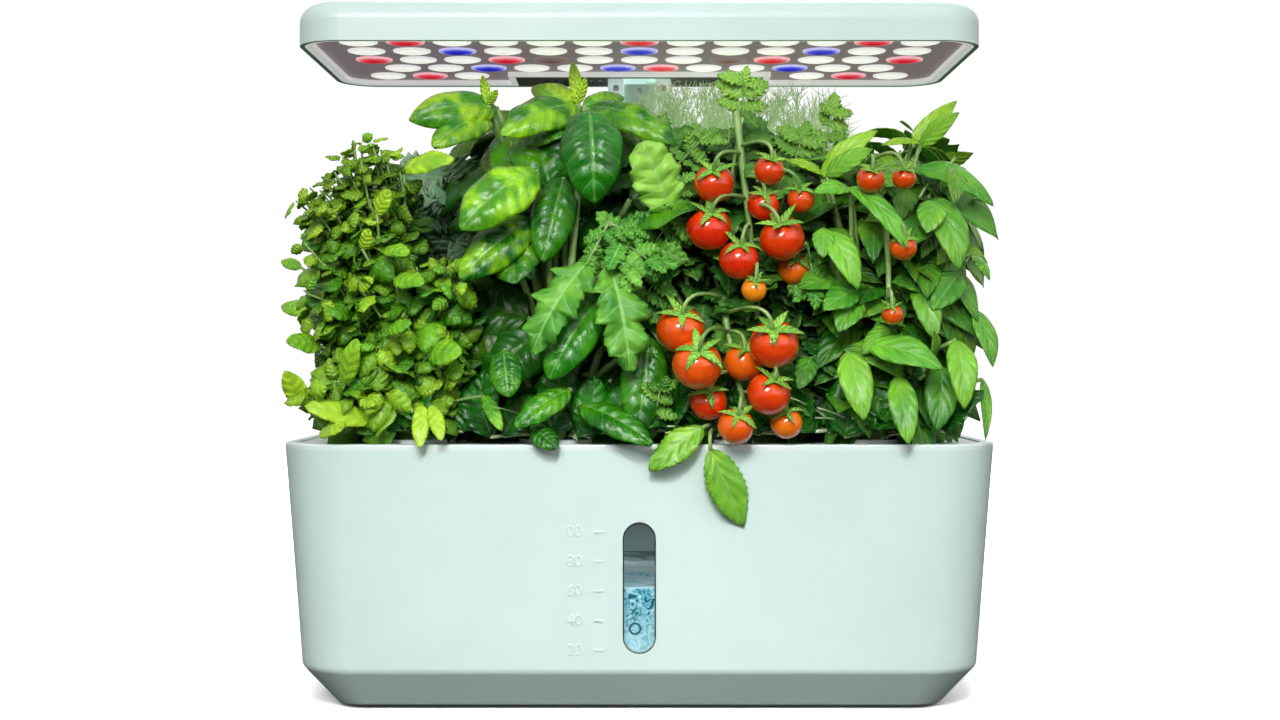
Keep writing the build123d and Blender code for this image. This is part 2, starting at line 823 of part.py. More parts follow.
with BuildPart() as lamp_shell:
    with BuildSketch(Plane.XY.offset(lamp_bottom)):
        lamp_outline(0)
    extrude(amount=lamp_height)
    fillet(lamp_shell.edges().filter_by(at_height(lamp_top)), lamp_top_round)
    add(lamp_hollow.part, mode=Mode.SUBTRACT)
    with BuildSketch(Plane.XY.offset(spreader_top)):
        with GridLocations(2 * spreader_boss_x, 2 * spreader_boss_y, 2, 2):
            Circle(screw_boss)
        with Locations((0, -spreader_boss_y)):
            Circle(screw_boss)
    extrude(amount=ceiling - spreader_top + lamp_wall / 2)
    with BuildSketch(Plane.XY.offset(plate_top)):
        with Locations(*plate_screw_spots):
            Circle(screw_boss)
            Circle(screw_radius + screw_fit, mode=Mode.SUBTRACT)
    extrude(amount=ceiling - plate_top + lamp_wall / 2)
    with BuildSketch(Plane.XY.offset(cover_top)):
        with Locations(*cover_screw_spots):
            Circle(screw_boss)
            Circle(screw_radius + screw_fit, mode=Mode.SUBTRACT)
    extrude(amount=ceiling - cover_top + lamp_wall / 2)
    with BuildSketch(Plane.XY.offset(circuit_top)):
        with Locations(*rib_spots):
            Rectangle(rib_thickness, circuit_depth / 2)
    extrude(amount=ceiling - circuit_top + lamp_wall / 2)
    with BuildSketch(Plane.XY.offset(lamp_top)):
        with Locations(*button_spots):
            Circle(button_diameter / 2 + button_gap)
    extrude(amount=-2 * lamp_wall, mode=Mode.SUBTRACT)
finish(lamp_shell, "lamp_shell")

with BuildPart() as led_bezel:
    with BuildSketch(Plane.XY.offset(lamp_bottom + bezel_recess)):
        lamp_outline(lamp_wall + bezel_gap)
        with BuildSketch(mode=Mode.SUBTRACT):
            lamp_outline(lamp_wall + bezel_gap + bezel_width)
        with BuildSketch():
            bay_area(bezel_width)
            with BuildSketch(mode=Mode.INTERSECT):
                lamp_outline(lamp_wall + bezel_gap)
        with BuildSketch(mode=Mode.SUBTRACT):
            bay_area(0)
    extrude(amount=board_recess - bezel_recess)
finish(led_bezel, "led_bezel")

with BuildPart() as led_board:
    with BuildSketch(Plane.XY.offset(board_bottom)):
        lamp_outline(lamp_wall + bezel_gap)
        with BuildSketch(mode=Mode.SUBTRACT):
            bay_area(0)
    extrude(amount=board_thickness)
finish(led_board, "led_board")

with BuildPart() as heat_spreader:
    with BuildSketch(Plane.XY.offset(board_top)):
        lamp_outline(lamp_wall + spreader_margin)
        with BuildSketch(mode=Mode.SUBTRACT):
            bay_area(bezel_width)
    extrude(amount=spreader_thickness)
finish(heat_spreader, "heat_spreader")


def led_spots(colours):
    """Middles of the lamp's LEDs of the given colours."""
    return [
        (led_pitch_x * (index - (len(row) - 1) / 2), led_first_y + led_pitch_y * number)
        for number, row in enumerate(led_rows)
        for index, colour in enumerate(row)
        if colour in colours
    ]


with BuildPart() as lens:
    with BuildSketch(Plane.XZ):
        with BuildLine():
            Line((0, -pocket_height), (pocket_diameter / 2, -pocket_height))
            Line((pocket_diameter / 2, -pocket_height), (pocket_diameter / 2, 0))
            Line((pocket_diameter / 2, 0), (lens_diameter / 2, 0))
            Line((lens_diameter / 2, 0), (lens_diameter / 2, -lens_rim))
            TangentArc((0, -lens_rim - lens_dome), (lens_diameter / 2, -lens_rim), tangent=(1, 0))
            Line((0, -lens_rim - lens_dome), (0, -pocket_height))
        make_face()
    revolve(axis=Axis.Z)

lens_nodes = {"white_lenses": "W", "red_lenses": "R", "blue_lenses": "B", "far_red_lenses": "F"}
for name, colour in lens_nodes.items():
    with BuildPart(Plane.XY.offset(board_bottom)) as lens_group:
        with Locations(*led_spots(colour)):
            add(lens.part)
    finish(lens_group, name)

with BuildPart() as led_chips:
    with BuildSketch(Plane.XY.offset(board_bottom)):
        with Locations(*led_spots("WRBF")):
            Rectangle(chip_size, chip_size)
    extrude(amount=-chip_height)
finish(led_chips, "led_chips")

with BuildPart() as driver_cover:
    with BuildSketch(Plane.XY.offset(cover_bottom)):
        bay_area(-bezel_gap)
        with BuildSketch(mode=Mode.INTERSECT):
            lamp_outline(lamp_wall + bezel_gap)
        with BuildSketch(mode=Mode.SUBTRACT):
            mast_section(bezel_gap)
        for side in (-1, 1):
            for slot in range(vent_count):
                with Locations((side * (vent_start + slot * vent_pitch), vent_y)):
                    SlotOverall(vent_length, vent_width, rotation=90, mode=Mode.SUBTRACT)
        with Locations(*cover_screw_spots):
            Circle(screw_radius + screw_fit, mode=Mode.SUBTRACT)
    extrude(amount=cover_thickness)
    with BuildSketch(Plane.XY.offset(cover_bottom)):
        with Locations(*cover_screw_spots):
            Circle(screw_head + screw_fit)
    extrude(amount=cover_thickness / 2, mode=Mode.SUBTRACT)
finish(driver_cover, "driver_cover")

with BuildPart() as cover_screws:
    with BuildSketch(Plane.XY.offset(cover_bottom)):
        with Locations(*cover_screw_spots):
            Circle(screw_head)
    extrude(amount=cover_thickness / 2)
    with BuildSketch(Plane.XY.offset(cover_bottom)):
        with Locations(*cover_screw_spots):
            Circle(screw_radius)
    extrude(amount=screw_length)
    with BuildSketch(Plane.XY.offset(cover_bottom)):
        with Locations(*cover_screw_spots):
            RegularPolygon(screw_head / 2, 6)
    extrude(amount=cover_thickness / 3, mode=Mode.SUBTRACT)
finish(cover_screws, "cover_screws")


def circuit_board(side):
    """Small circuit board in the bay, left (-1) or right (1) of the mast."""
    with BuildSketch(Plane.XY.offset(circuit_bottom)) as outline:
        with Locations((side * circuit_x, button_y)):
            Rectangle(circuit_width, circuit_depth)
    extrude(outline.sketch, amount=circuit_thickness)


with BuildPart() as driver_board:
    circuit_board(-1)
    with BuildSketch(Plane.XY.offset(circuit_bottom)):
        with Locations((-circuit_x, button_y)):
            Circle(coil_radius)
    extrude(amount=-coil_height)
finish(driver_board, "driver_board")

with BuildPart() as switch_board:
    circuit_board(1)
finish(switch_board, "switch_board")

with BuildPart() as tact_switches:
    with BuildSketch(Plane.XY.offset(switch_bottom)):
        with Locations(*button_spots):
            Rectangle(switch_size, switch_size)
    extrude(amount=switch_height)
    with BuildSketch(Plane.XY.offset(switch_bottom + switch_height)):
        with Locations(*button_spots):
            Circle(plunger_radius)
    extrude(amount=plunger_height)
finish(tact_switches, "tact_switches")

for name, spot in zip(("power_button", "mode_button"), button_spots):
    with BuildPart() as button:
        with BuildSketch(Plane.XY.offset(cap_bottom)):
            with Locations(spot):
                Circle(button_diameter / 2)
        extrude(amount=lamp_top + button_proud - cap_bottom)
        fillet(button.edges().sort_by(Axis.Z)[-1], button_proud / 2)
        with BuildSketch(Plane.XY.offset(cap_bottom)):
            with Locations(spot):
                Circle(button_diameter / 2 + button_lip)
        extrude(amount=button_lip_thickness)
    finish(button, name)

# ================================================================ pump
pump_bottom = floor_top + pump_floor_gap
pump_top = pump_bottom + pump_height
shaft_z = pump_bottom + pump_height / 2
chamber_back = pump_front + impeller_width + 2 * pump_play
well_back = chamber_back + magnet_length + pump_play
pump_back = well_back + end_wall
stator_front = chamber_back + end_wall
can_radius = magnet_radius + pump_play + can_wall
stator_radius = can_radius + stator_gap + stator_thickness
lead_spot = (pump_x + lead_start[0], pump_front + lead_start[1])


def across(y):
    """Upright plane at depth y through the pump's shaft axis, facing forwards."""
    return Plane(origin=(pump_x, y, shaft_z), x_dir=(1, 0, 0), z_dir=(0, -1, 0))


def pump_disc(start, end, radius, mode=Mode.ADD):
    """Round bar or bore on the shaft axis, from depth start back to depth end."""
    with BuildSketch(across(start)) as section:
        Circle(radius)
    extrude(section.sketch, amount=start - end, mode=mode)


def pump_block(start, end, inset=0.0, mode=Mode.ADD):
    """Rounded block round the shaft axis, moved in by inset, from depth start back to depth end."""
    with BuildSketch(across(start)) as section:
        RectangleRounded(pump_width - 2 * inset, pump_height - 2 * inset, pump_round - inset)
    extrude(section.sketch, amount=start - end, mode=mode)


with BuildPart() as pump_housing:
    pump_block(pump_front, pump_back)
    pump_disc(pump_front, chamber_back, impeller_radius + pump_play, Mode.SUBTRACT)
    pump_disc(chamber_back, well_back, magnet_radius + pump_play, Mode.SUBTRACT)
    pump_disc(well_back, well_back + shaft_seat, shaft_radius, Mode.SUBTRACT)
    with BuildSketch(across(stator_front)):
        Circle(stator_radius + stator_gap)
        Circle(can_radius, mode=Mode.SUBTRACT)
    extrude(amount=stator_front - pump_back, mode=Mode.SUBTRACT)
    with BuildSketch(Plane.XY.offset(pump_top)):
        with Locations((pump_x, riser_y)):
            Circle(nozzle_radius)
    extrude(amount=nozzle_rise)
    with BuildSketch(Plane.XY.offset(shaft_z)):
        with Locations((pump_x, riser_y)):
            Circle(nozzle_bore)
    extrude(amount=pump_top + nozzle_rise - shaft_z, mode=Mode.SUBTRACT)
    with BuildSketch(Plane.XY.offset(pump_top)):
        with Locations(lead_spot):
            Circle(lead_gland_radius)
            Circle(lead_radius + lead_fit, mode=Mode.SUBTRACT)
    extrude(amount=lead_gland_height)
finish(pump_housing, "pump_housing")

with BuildPart() as pump_stator:
    with BuildSketch(across(stator_front + stator_gap)):
        Circle(stator_radius)
        Circle(can_radius + stator_gap, mode=Mode.SUBTRACT)
    extrude(amount=stator_front + 2 * stator_gap - pump_back)
finish(pump_stator, "pump_stator")

with BuildPart() as pump_end_cap:
    pump_block(pump_back, pump_back + end_cap_thickness)
finish(pump_end_cap, "pump_end_cap")

impeller_front = pump_front + pump_play
impeller_back = impeller_front + impeller_width
rotor_back = impeller_back + magnet_length

with BuildPart() as impeller:
    pump_disc(impeller_front, rotor_back, sleeve_radius)
    pump_disc(impeller_back - impeller_disc, impeller_back, impeller_radius)
    with BuildSketch(across(impeller_front)):
        with PolarLocations(impeller_radius / 2, impeller_blades):
            Rectangle(impeller_radius - sleeve_radius / 2, blade_thickness)
        Circle(impeller_radius, mode=Mode.INTERSECT)
    extrude(amount=-impeller_width + impeller_disc)
    pump_disc(impeller_front, rotor_back, shaft_radius + shaft_clearance, Mode.SUBTRACT)
finish(impeller, "impeller")

with BuildPart() as rotor_magnet:
    pump_disc(impeller_back, rotor_back, magnet_radius)
    pump_disc(impeller_back, rotor_back, sleeve_radius, Mode.SUBTRACT)
finish(rotor_magnet, "rotor_magnet")

with BuildPart() as pump_shaft:
    pump_disc(pump_front - shaft_seat, well_back + shaft_seat, shaft_radius)
finish(pump_shaft, "pump_shaft")

intake_front = pump_front - intake_thickness
cage_front = intake_front - filter_thickness - filter_gap

with BuildPart() as pump_intake:
    pump_block(cage_front, pump_front)
    pump_block(cage_front, intake_front, cage_wall, Mode.SUBTRACT)
    pump_disc(pump_front - shaft_seat, pump_front, shaft_radius, Mode.SUBTRACT)
    with BuildSketch(across(intake_front)):
        for side in (-1, 1):
            for slot in range(intake_slots):
                with Locations((side * (intake_start + slot * intake_pitch), 0)):
                    SlotOverall(intake_slot_length, intake_slot_width, rotation=90)
    extrude(amount=-intake_thickness, mode=Mode.SUBTRACT)
finish(pump_intake, "pump_intake")

with BuildPart() as pump_filter:
    pump_block(cage_front, intake_front - filter_gap, cage_wall + filter_gap)
finish(pump_filter, "pump_filter")

with BuildPart() as riser_tube:
    with BuildSketch(Plane.XY.offset(pump_top + filter_gap)):
        with Locations((pump_x, riser_y)):
            Circle(riser_radius)
            Circle(nozzle_radius + riser_gap, mode=Mode.SUBTRACT)
    extrude(amount=rim_top - pump_top - 2 * filter_gap)
    with Locations((pump_x, riser_y, rim_top - riser_outlet_drop)):
        Cylinder(riser_outlet, 4 * riser_radius, rotation=(90, 0, 0), mode=Mode.SUBTRACT)
finish(riser_tube, "riser_tube")

# pump lead: out of the pump's gland, round under the deck and up into the mast
lead_points = [
    (*lead_spot, pump_top),
    *lead_bends,
    (lead_x, mast_y, rim_top - deck_lip * 2),
    (lead_x, mast_y, lead_top),
]


def bend_radii(points):
    """Largest tangent arc at each inner point of a route, with a tenth of the run left straight."""
    radii = []
    for before, here, after in zip(points, points[1:], points[2:]):
        first = Vector(*here) - Vector(*before)
        second = Vector(*after) - Vector(*here)
        turn = first.get_angle(second)
        radii.append(lead_bend_share * min(first.length, second.length) / tan(radians(turn / 2)))
    return radii


lead_radii = bend_radii(lead_points)
print("pump lead bend radii:", [round(radius, 1) for radius in lead_radii])

with BuildPart() as pump_lead:
    with BuildLine() as lead_route:
        FilletPolyline(*lead_points, radius=lead_radii)
    with BuildSketch(Plane.XY.offset(pump_top)):
        with Locations(lead_spot):
            Circle(lead_radius)
    sweep(path=lead_route.wires()[0])
finish(pump_lead, "pump_lead")

with BuildPart() as pump_plug:
    with BuildSketch(Plane.XY.offset(lead_top)):
        with Locations((lead_x, mast_y)):
            Rectangle(plug_width, plug_depth)
    extrude(amount=plug_height)
finish(pump_plug, "pump_plug")


# ================================================================ plants
def cell_edges(column):
    """Left and right limits of the space that a pod column's plants may fill."""
    inner = pod_pitch_x * (column - pod_columns / 2)
    left = -plant_reach if column == 0 else inner + plant_gap
    right = plant_reach if column == pod_columns - 1 else inner + pod_pitch_x - plant_gap
    return left, right


for name, (column, row, low, top, front, back) in plants.items():
    left, right = cell_edges(column)
    front = pod_centre_y + plant_gap if front is None else front
    back = pod_centre_y - plant_gap if back is None else back
    with BuildPart() as plant:
        with BuildSketch(Plane.XY.offset(low)) as outline:
            with Locations(((left + right) / 2, (front + back) / 2)):
                Rectangle(right - left, back - front)
            outer_x = left if column == 0 else right
            outer_y = front if row == 0 else back
            corners = outline.vertices().sort_by_distance((outer_x, outer_y, low))
            if column in (0, pod_columns - 1):
                fillet(corners[1:], crown_round)
                fillet(outline.vertices().sort_by_distance((outer_x, outer_y, low))[0], canopy_round)
            else:
                fillet(corners, crown_round)
        extrude(amount=top - low)
        fillet(plant.edges().filter_by(at_height(top)), crown_top_round)
        fillet(plant.edges().filter_by(at_height(low)), crown_low_round)
        with BuildSketch(Plane.XY.offset(dish_top - stem_root)):
            with Locations((pod_xs[column], pod_ys[row])):
                Circle(stem_radius)
        extrude(amount=low + crown_low_round - dish_top + stem_root)
        with BuildSketch(Plane.XY.offset(dish_top)):
            mast_section(crown_mast_gap)
            with Locations((0, mast_y + mast_thickness)):
                Rectangle(mast_width + 2 * crown_mast_gap, 2 * mast_thickness)
        extrude(amount=lamp_bottom - dish_top, mode=Mode.SUBTRACT)
        for x, y, z, radius in fruits:
            with Locations((x, y, z)):
                Sphere(radius + fruit_gap, rotation=(90, 0, 0), mode=Mode.SUBTRACT)
    finish(plant, name)

with BuildPart() as tomato_fruits:
    for x, y, z, radius in fruits:
        with Locations((x, y, z)):
            Sphere(radius, rotation=(90, 0, 0))
finish(tomato_fruits, "tomato_fruits")

with BuildPart() as trailing_leaves:
    for base_x, base_z, tip_x, tip_z, half_width in trailing:
        base = Vector(base_x, base_z)
        tip = Vector(tip_x, tip_z)
        side = (tip - base).normalized().rotate(Axis.Z, 90) * half_width
        with BuildSketch(Plane.XZ.offset(-leaf_y)):
            with BuildLine():
                ThreePointArc(base, (base + tip) / 2 + side, tip)
                ThreePointArc(tip, (base + tip) / 2 - side, base)
            make_face()
            with Locations((base_x, (leaf_top + base_z) / 2 - petiole_width / 2)):
                Rectangle(petiole_width, leaf_top - base_z + petiole_width)
        extrude(amount=leaf_thickness)
finish(trailing_leaves, "trailing_leaves")
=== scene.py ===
from math import pi, radians

import bpy
import numpy as np
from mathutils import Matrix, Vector


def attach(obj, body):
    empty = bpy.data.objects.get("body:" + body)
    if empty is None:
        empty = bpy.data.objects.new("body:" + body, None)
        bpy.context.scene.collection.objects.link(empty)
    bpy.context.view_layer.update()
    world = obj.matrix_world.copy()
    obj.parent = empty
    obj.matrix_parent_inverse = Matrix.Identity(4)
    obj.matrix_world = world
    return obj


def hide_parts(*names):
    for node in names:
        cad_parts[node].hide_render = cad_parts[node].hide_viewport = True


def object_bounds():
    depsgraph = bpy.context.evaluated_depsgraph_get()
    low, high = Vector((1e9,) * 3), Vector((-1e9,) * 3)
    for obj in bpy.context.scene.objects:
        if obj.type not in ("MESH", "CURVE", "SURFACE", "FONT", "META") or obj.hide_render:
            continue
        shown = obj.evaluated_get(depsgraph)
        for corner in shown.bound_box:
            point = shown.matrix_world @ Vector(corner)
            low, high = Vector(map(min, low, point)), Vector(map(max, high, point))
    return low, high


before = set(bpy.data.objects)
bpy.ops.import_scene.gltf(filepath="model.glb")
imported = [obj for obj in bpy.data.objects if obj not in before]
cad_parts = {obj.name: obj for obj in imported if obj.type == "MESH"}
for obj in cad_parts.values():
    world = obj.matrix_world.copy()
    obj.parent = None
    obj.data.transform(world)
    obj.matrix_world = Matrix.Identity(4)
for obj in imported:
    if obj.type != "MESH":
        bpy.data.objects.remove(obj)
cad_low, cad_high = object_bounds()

# ---------------------------------------------------------------- studio
# The camera stands level in front of the garden, a little above the tank's rim. The floor and the
# surroundings are plain white. The key light stands high in front, and a broad fill on the right.
scene = bpy.context.scene
scene.view_settings.view_transform = "Standard"
camera_distance, camera_height = 0.7536, 0.1411


def placed(name, data, place=(0, 0, 0)):
    """Puts a new object with this data into the scene."""
    thing = bpy.data.objects.new(name, data)
    thing.location = place
    scene.collection.objects.link(thing)
    return thing


camera_lens = bpy.data.cameras.new("camera")
camera_lens.sensor_width, camera_lens.lens = 36.0, 49.2
camera_lens.shift_x, camera_lens.shift_y = 0.0005, -0.0031
scene.camera = placed("camera", camera_lens, (0.0, -camera_distance, camera_height))
scene.camera.rotation_euler = (radians(90), 0, 0)


def soft_light(name, place, aim, size, watts, spread=180):
    """A square area light at place that faces aim, with its beam spread over so many degrees."""
    lamp = bpy.data.lights.new(name, "AREA")
    lamp.size, lamp.energy, lamp.spread = size, watts, radians(spread)
    light = placed(name, lamp, place)
    light.visible_camera = False
    light.rotation_euler = (Vector(aim) - Vector(place)).to_track_quat("-Z", "Y").to_euler()


soft_light("key_light", (-0.25, -1.40, 0.88), (0, 0, 0.12), 0.5, 12.4)
soft_light("tank_fill", (0.0, -1.05, 0.80), (0, -0.07, -0.01), 0.25, 0.17, 23)
soft_light("fill_light", (0.9, -1.1, 0.65), (0, 0, 0.14), 1.0, 3.4)
soft_light("back_light", (0.2, 1.2, 0.9), (0, 0, 0.16), 1.0, 6.0)


def feed(node, inputs):
    """Sets a shader node's inputs, each to a plain value or from another node."""
    for key, value in inputs.items():
        if isinstance(value, Value):
            node.id_data.links.new(value.socket, node.inputs[key])
        else:
            node.inputs[key].default_value = value


def node_of(tree, kind, inputs=None, **settings):
    """Adds a shader node with its settings and inputs."""
    node = tree.nodes.new(f"ShaderNode{kind}")
    for key, value in settings.items():
        setattr(node, key, value)
    feed(node, inputs or {})
    return node


class Value:
    """One output of a shader node. Arithmetic on it, as in x * 2.0 - y, adds Math nodes."""

    def __init__(self, node, output=0):
        self.tree = node.id_data
        self.socket = node.outputs[output]

    def then(self, kind, inputs, output=0, **settings):
        """The output of a new node in the same tree."""
        return Value(node_of(self.tree, kind, inputs, **settings), output)

    def math(self, operation, other=0.0):
        return self.then("Math", {0: self, 1: other}, operation=operation)

    def __add__(self, other):
        return self.math("ADD", other)

    def __sub__(self, other):
        return self.math("SUBTRACT", other)

    def __mul__(self, other):
        return self.math("MULTIPLY", other)

    def __truediv__(self, other):
        return self.math("DIVIDE", other)

    def __abs__(self):
        return self.math("ABSOLUTE")

    def most(self, other):
        return self.math("MAXIMUM", other)

    def ramp(self, low, high, start=0.0, end=1.0):
        """This value taken from low..high to start..end, held at both ends."""
        inputs = {"Value": self, "From Min": low, "From Max": high, "To Min": start, "To Max": end}
        return self.then("MapRange", inputs, "Result")

    def blend(self, first, second):
        """A colour that goes from first to second as this value goes from 0 to 1."""
        first, second = (end if isinstance(end, Value) else (*end, 1) for end in (first, second))
        return self.then("Mix", {0: self, 6: first, 7: second}, 2, data_type="RGBA")

    def noise(self, scale, detail=2.0, distortion=0.0):
        """Noise at this place."""
        return self.then("TexNoise", {"Vector": self, "Scale": scale, "Detail": detail, "Distortion": distortion})

    def bump(self, distance, strength=1.0):
        """The normal of a skin that this height raises by up to distance."""
        return self.then("Bump", {"Height": self, "Distance": distance, "Strength": strength})

    def parts(self, kind="XYZ", names="XYZ"):
        """The parts of a vector or a colour."""
        node = node_of(self.tree, f"Separate{kind}", {0: self})
        return [Value(node, name) for name in names]


# The surroundings light the garden by less than the white that the camera sees.
ambient = 0.42
glossy_share = 0.4
world = bpy.data.worlds.new("studio_white")
world.use_nodes = True
scene.world = world
ray = node_of(world.node_tree, "LightPath")
seen = Value(ray, "Is Camera Ray").most(Value(ray, "Is Transmission Ray"))
seen = seen.most(Value(ray, "Is Glossy Ray") * glossy_share)
feed(world.node_tree.nodes["Background"], {"Color": (1, 1, 1, 1), "Strength": seen.ramp(0, 1, ambient, 1.0)})

# The floor throws little light up on the tank, but the camera sees it white, more so away from it.
floor_reach = 6.0
floor_bounce = (0.06, 0.062, 0.062)
floor_mesh = bpy.data.meshes.new("floor")
floor_corners = [(x * floor_reach, y * floor_reach, 0) for x, y in ((-1, -1), (1, -1), (1, 1), (-1, 1))]
floor_mesh.from_pydata(floor_corners, [], [(0, 1, 2, 3)])
floor = placed("floor", floor_mesh)
floor_paint = bpy.data.materials.new("floor_paint")
floor_paint.use_nodes = True
paint = floor_paint.node_tree
paint.nodes.clear()
place = Value(node_of(paint, "TexCoord"), "Object")
away = place.then("VectorMath", {0: place}, "Value", operation="LENGTH")
white = Value(node_of(paint, "LightPath"), "Is Camera Ray").blend(floor_bounce, away.ramp(0.2, 0.5, 1.8, 3.6))
node_of(paint, "OutputMaterial", {"Surface": place.then("BsdfDiffuse", {"Color": white})})
floor_mesh.materials.append(floor_paint)


# ---------------------------------------------------------------- finishes and pieces
class Finish:
    """A new material. Its place is the Object coordinates."""

    def __init__(self, name):
        self.material = bpy.data.materials.new(name)
        self.material.use_nodes = True
        self.tree = self.material.node_tree
        self.place = self.read("TexCoord", "Object")

    def read(self, kind, output=0, **settings):
        """A value that the mesh or the view gives."""
        return Value(node_of(self.tree, kind, **settings), output)

    def done(self, **inputs):
        """Sets inputs of the Principled shader, with _ for each space, and gives the material."""
        feed(self.tree.nodes["Principled BSDF"], {key.replace("_", " "): value for key, value in inputs.items()})
        return self.material


def moulded(name, dark, light, roughness, grain=0.00005, fine=1400.0, slow=18.0, **inputs):
    """A moulded, cast or drawn finish on Object coordinates.

    Slow noise takes the colour from dark to light. Fine noise moves the roughness by a tenth and
    raises the skin by grain metres.
    """
    finish = Finish(name)
    tone = finish.place.noise(slow, 3.0).ramp(0.35, 0.65).blend(dark, light)
    speck = finish.place.noise(fine)
    rough = speck.ramp(0.3, 0.7, roughness * 0.9, roughness * 1.1)
    return finish.done(Base_Color=tone, Roughness=rough, Normal=speck.bump(grain), **inputs)


def dress(material, *nodes):
    """Gives the CAD nodes this material in every slot."""
    for name in nodes:
        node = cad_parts[name]
        if not node.material_slots:
            node.data.materials.append(material)
        for place in node.material_slots:
            place.link = "OBJECT"
            place.material = material


def new_piece(name, points, corners, sizes, finish, body, slot, uv=None, leaf=None):
    """Puts a mesh from whole arrays into the scene as a smooth piece that rides on body.

    points is (n, 3). corners lists the vertex numbers of all faces one after the other, and sizes
    the number of corners of each face. uv gives each point's two numbers, and leaf its tint.
    """
    corners = np.asarray(corners, dtype=np.int32).ravel()
    sizes = np.asarray(sizes, dtype=np.int32).ravel()
    mesh = bpy.data.meshes.new(name)
    mesh.vertices.add(len(points))
    mesh.vertices.foreach_set("co", np.asarray(points, dtype=np.float32).ravel())
    mesh.loops.add(len(corners))
    mesh.loops.foreach_set("vertex_index", corners)
    mesh.polygons.add(len(sizes))
    mesh.polygons.foreach_set("loop_start", np.concatenate(([0], np.cumsum(sizes)[:-1])).astype(np.int32))
    mesh.polygons.foreach_set("loop_total", sizes)
    mesh.polygons.foreach_set("use_smooth", np.full(len(sizes), True))
    mesh.update(calc_edges=True)
    if uv is not None:
        layer = mesh.uv_layers.new(name="blade")
        layer.data.foreach_set("uv", np.asarray(uv, dtype=np.float32)[corners].ravel())
    if leaf is not None:
        tint = mesh.attributes.new("leaf", "FLOAT_COLOR", "POINT")
        tint.data.foreach_set("color", np.asarray(leaf, dtype=np.float32).ravel())
    mesh.materials.append(finish)
    piece = placed(name, mesh)
    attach(piece, body)
    return piece


# ---------------------------------------------------------------- tank
# The tank is one injection moulding in mint ABS with a fine satin skin, drafted so that it leaves
# its mould. Four rubber feet are pushed into sockets in its floor.
mint = moulded("mint_plastic", (0.67, 0.84, 0.79), (0.71, 0.88, 0.83), 0.34, grain=0.00003)
black_rubber = moulded("foot_rubber", (0.02, 0.02, 0.02), (0.035, 0.035, 0.035), 0.75, grain=0.0001, slow=90.0)
dress(mint, "tank_shell")
dress(black_rubber, "rubber_feet")

rim_top, bevel_top = 0.1045, 0.0172
tank_half_x, tank_half_y, tank_corner = 0.1425, 0.075, 0.022
wall_lean = 6.5 / (104.5 - 17.2)


def front_wall(height):
    """y of the tank's front face."""
    return -tank_half_y + wall_lean * (rim_top - height)


# The level scale's numbers are raised from the front wall in the tank's own plastic, one beside
# each tick. They are cut from plain type and follow the lean of the wall.
number_right = -0.0222
number_size = 0.0046 * 1.35
number_rise = 0.00034
number_low, number_pitch = 0.026, 0.0117
for step, text in enumerate(("20", "40", "60", "80", "100")):
    type_face = bpy.data.curves.new(f"level_number_{text}", "FONT")
    type_face.body = text
    type_face.align_x, type_face.align_y = "RIGHT", "CENTER"
    type_face.size = number_size
    type_face.extrude = number_rise
    type_face.bevel_depth = 0.0001
    type_face.resolution_u = 4
    lettering = placed("lettering", type_face)
    bpy.context.view_layer.update()
    number_mesh = bpy.data.meshes.new_from_object(lettering)
    bpy.data.objects.remove(lettering)
    flat = np.empty(len(number_mesh.vertices) * 3, dtype=np.float32)
    number_mesh.vertices.foreach_get("co", flat)
    flat = flat.reshape(-1, 3)
    height = number_low + step * number_pitch + flat[:, 1]
    flat = np.column_stack((number_right + flat[:, 0], front_wall(height) - flat[:, 2], height))
    number_mesh.vertices.foreach_set("co", flat.astype(np.float32).ravel())
    number_mesh.materials.clear()
    number_mesh.materials.append(mint)
    number = placed(f"level_number_{text}", number_mesh)
    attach(number, "tank")

# ---------------------------------------------------------------- level window
# A clear acrylic lens sits in a slot of the front wall on a dark rubber gasket. A white retainer
# snaps over it from inside. Its colour goes grey towards its top: painted shade under the slot's top edge.
clear = Finish("clear_window")
haze = clear.place.noise(60.0, 3.0)
height = clear.place.parts()[2]
# Painted shade: the lens goes grey over its top, under the slot's top edge.
tint = height.ramp(0.062, 0.077).blend(haze.blend((0.93, 0.98, 0.99), (1, 1, 1)), (0.50, 0.50, 0.52))
acrylic = clear.done(Base_Color=tint, Roughness=haze.ramp(0.4, 0.7, 0.02, 0.06), Transmission_Weight=1.0, IOR=1.2)
dress(acrylic, "level_window")
seal_rubber = moulded("seal_rubber", (0.012, 0.014, 0.015), (0.03, 0.033, 0.035), 0.6, slow=120.0)
dress(seal_rubber, "window_gasket")
white_plastic = moulded("white_plastic", (0.78, 0.80, 0.80), (0.85, 0.87, 0.87), 0.38, grain=0.00004)
dress(white_plastic, "window_retainer")


def even_ring(half_x, half_y, radius, count):
    """count points spread evenly round a rounded rectangle: a circle moved out to four corners."""
    turn = (np.arange(360) + 0.5) * 2 * pi / 360
    x = np.cos(turn) * radius + np.sign(np.cos(turn)) * (half_x - radius)
    y = np.sin(turn) * radius + np.sign(np.sin(turn)) * (half_y - radius)
    loop = np.column_stack((x, y))
    loop = np.vstack((loop, loop[:1]))
    run = np.concatenate(([0], np.cumsum(np.linalg.norm(np.diff(loop, axis=0), axis=1))))
    even = np.linspace(0, run[-1], count, endpoint=False)
    return np.column_stack((np.interp(even, run, loop[:, 0]), np.interp(even, run, loop[:, 1])))


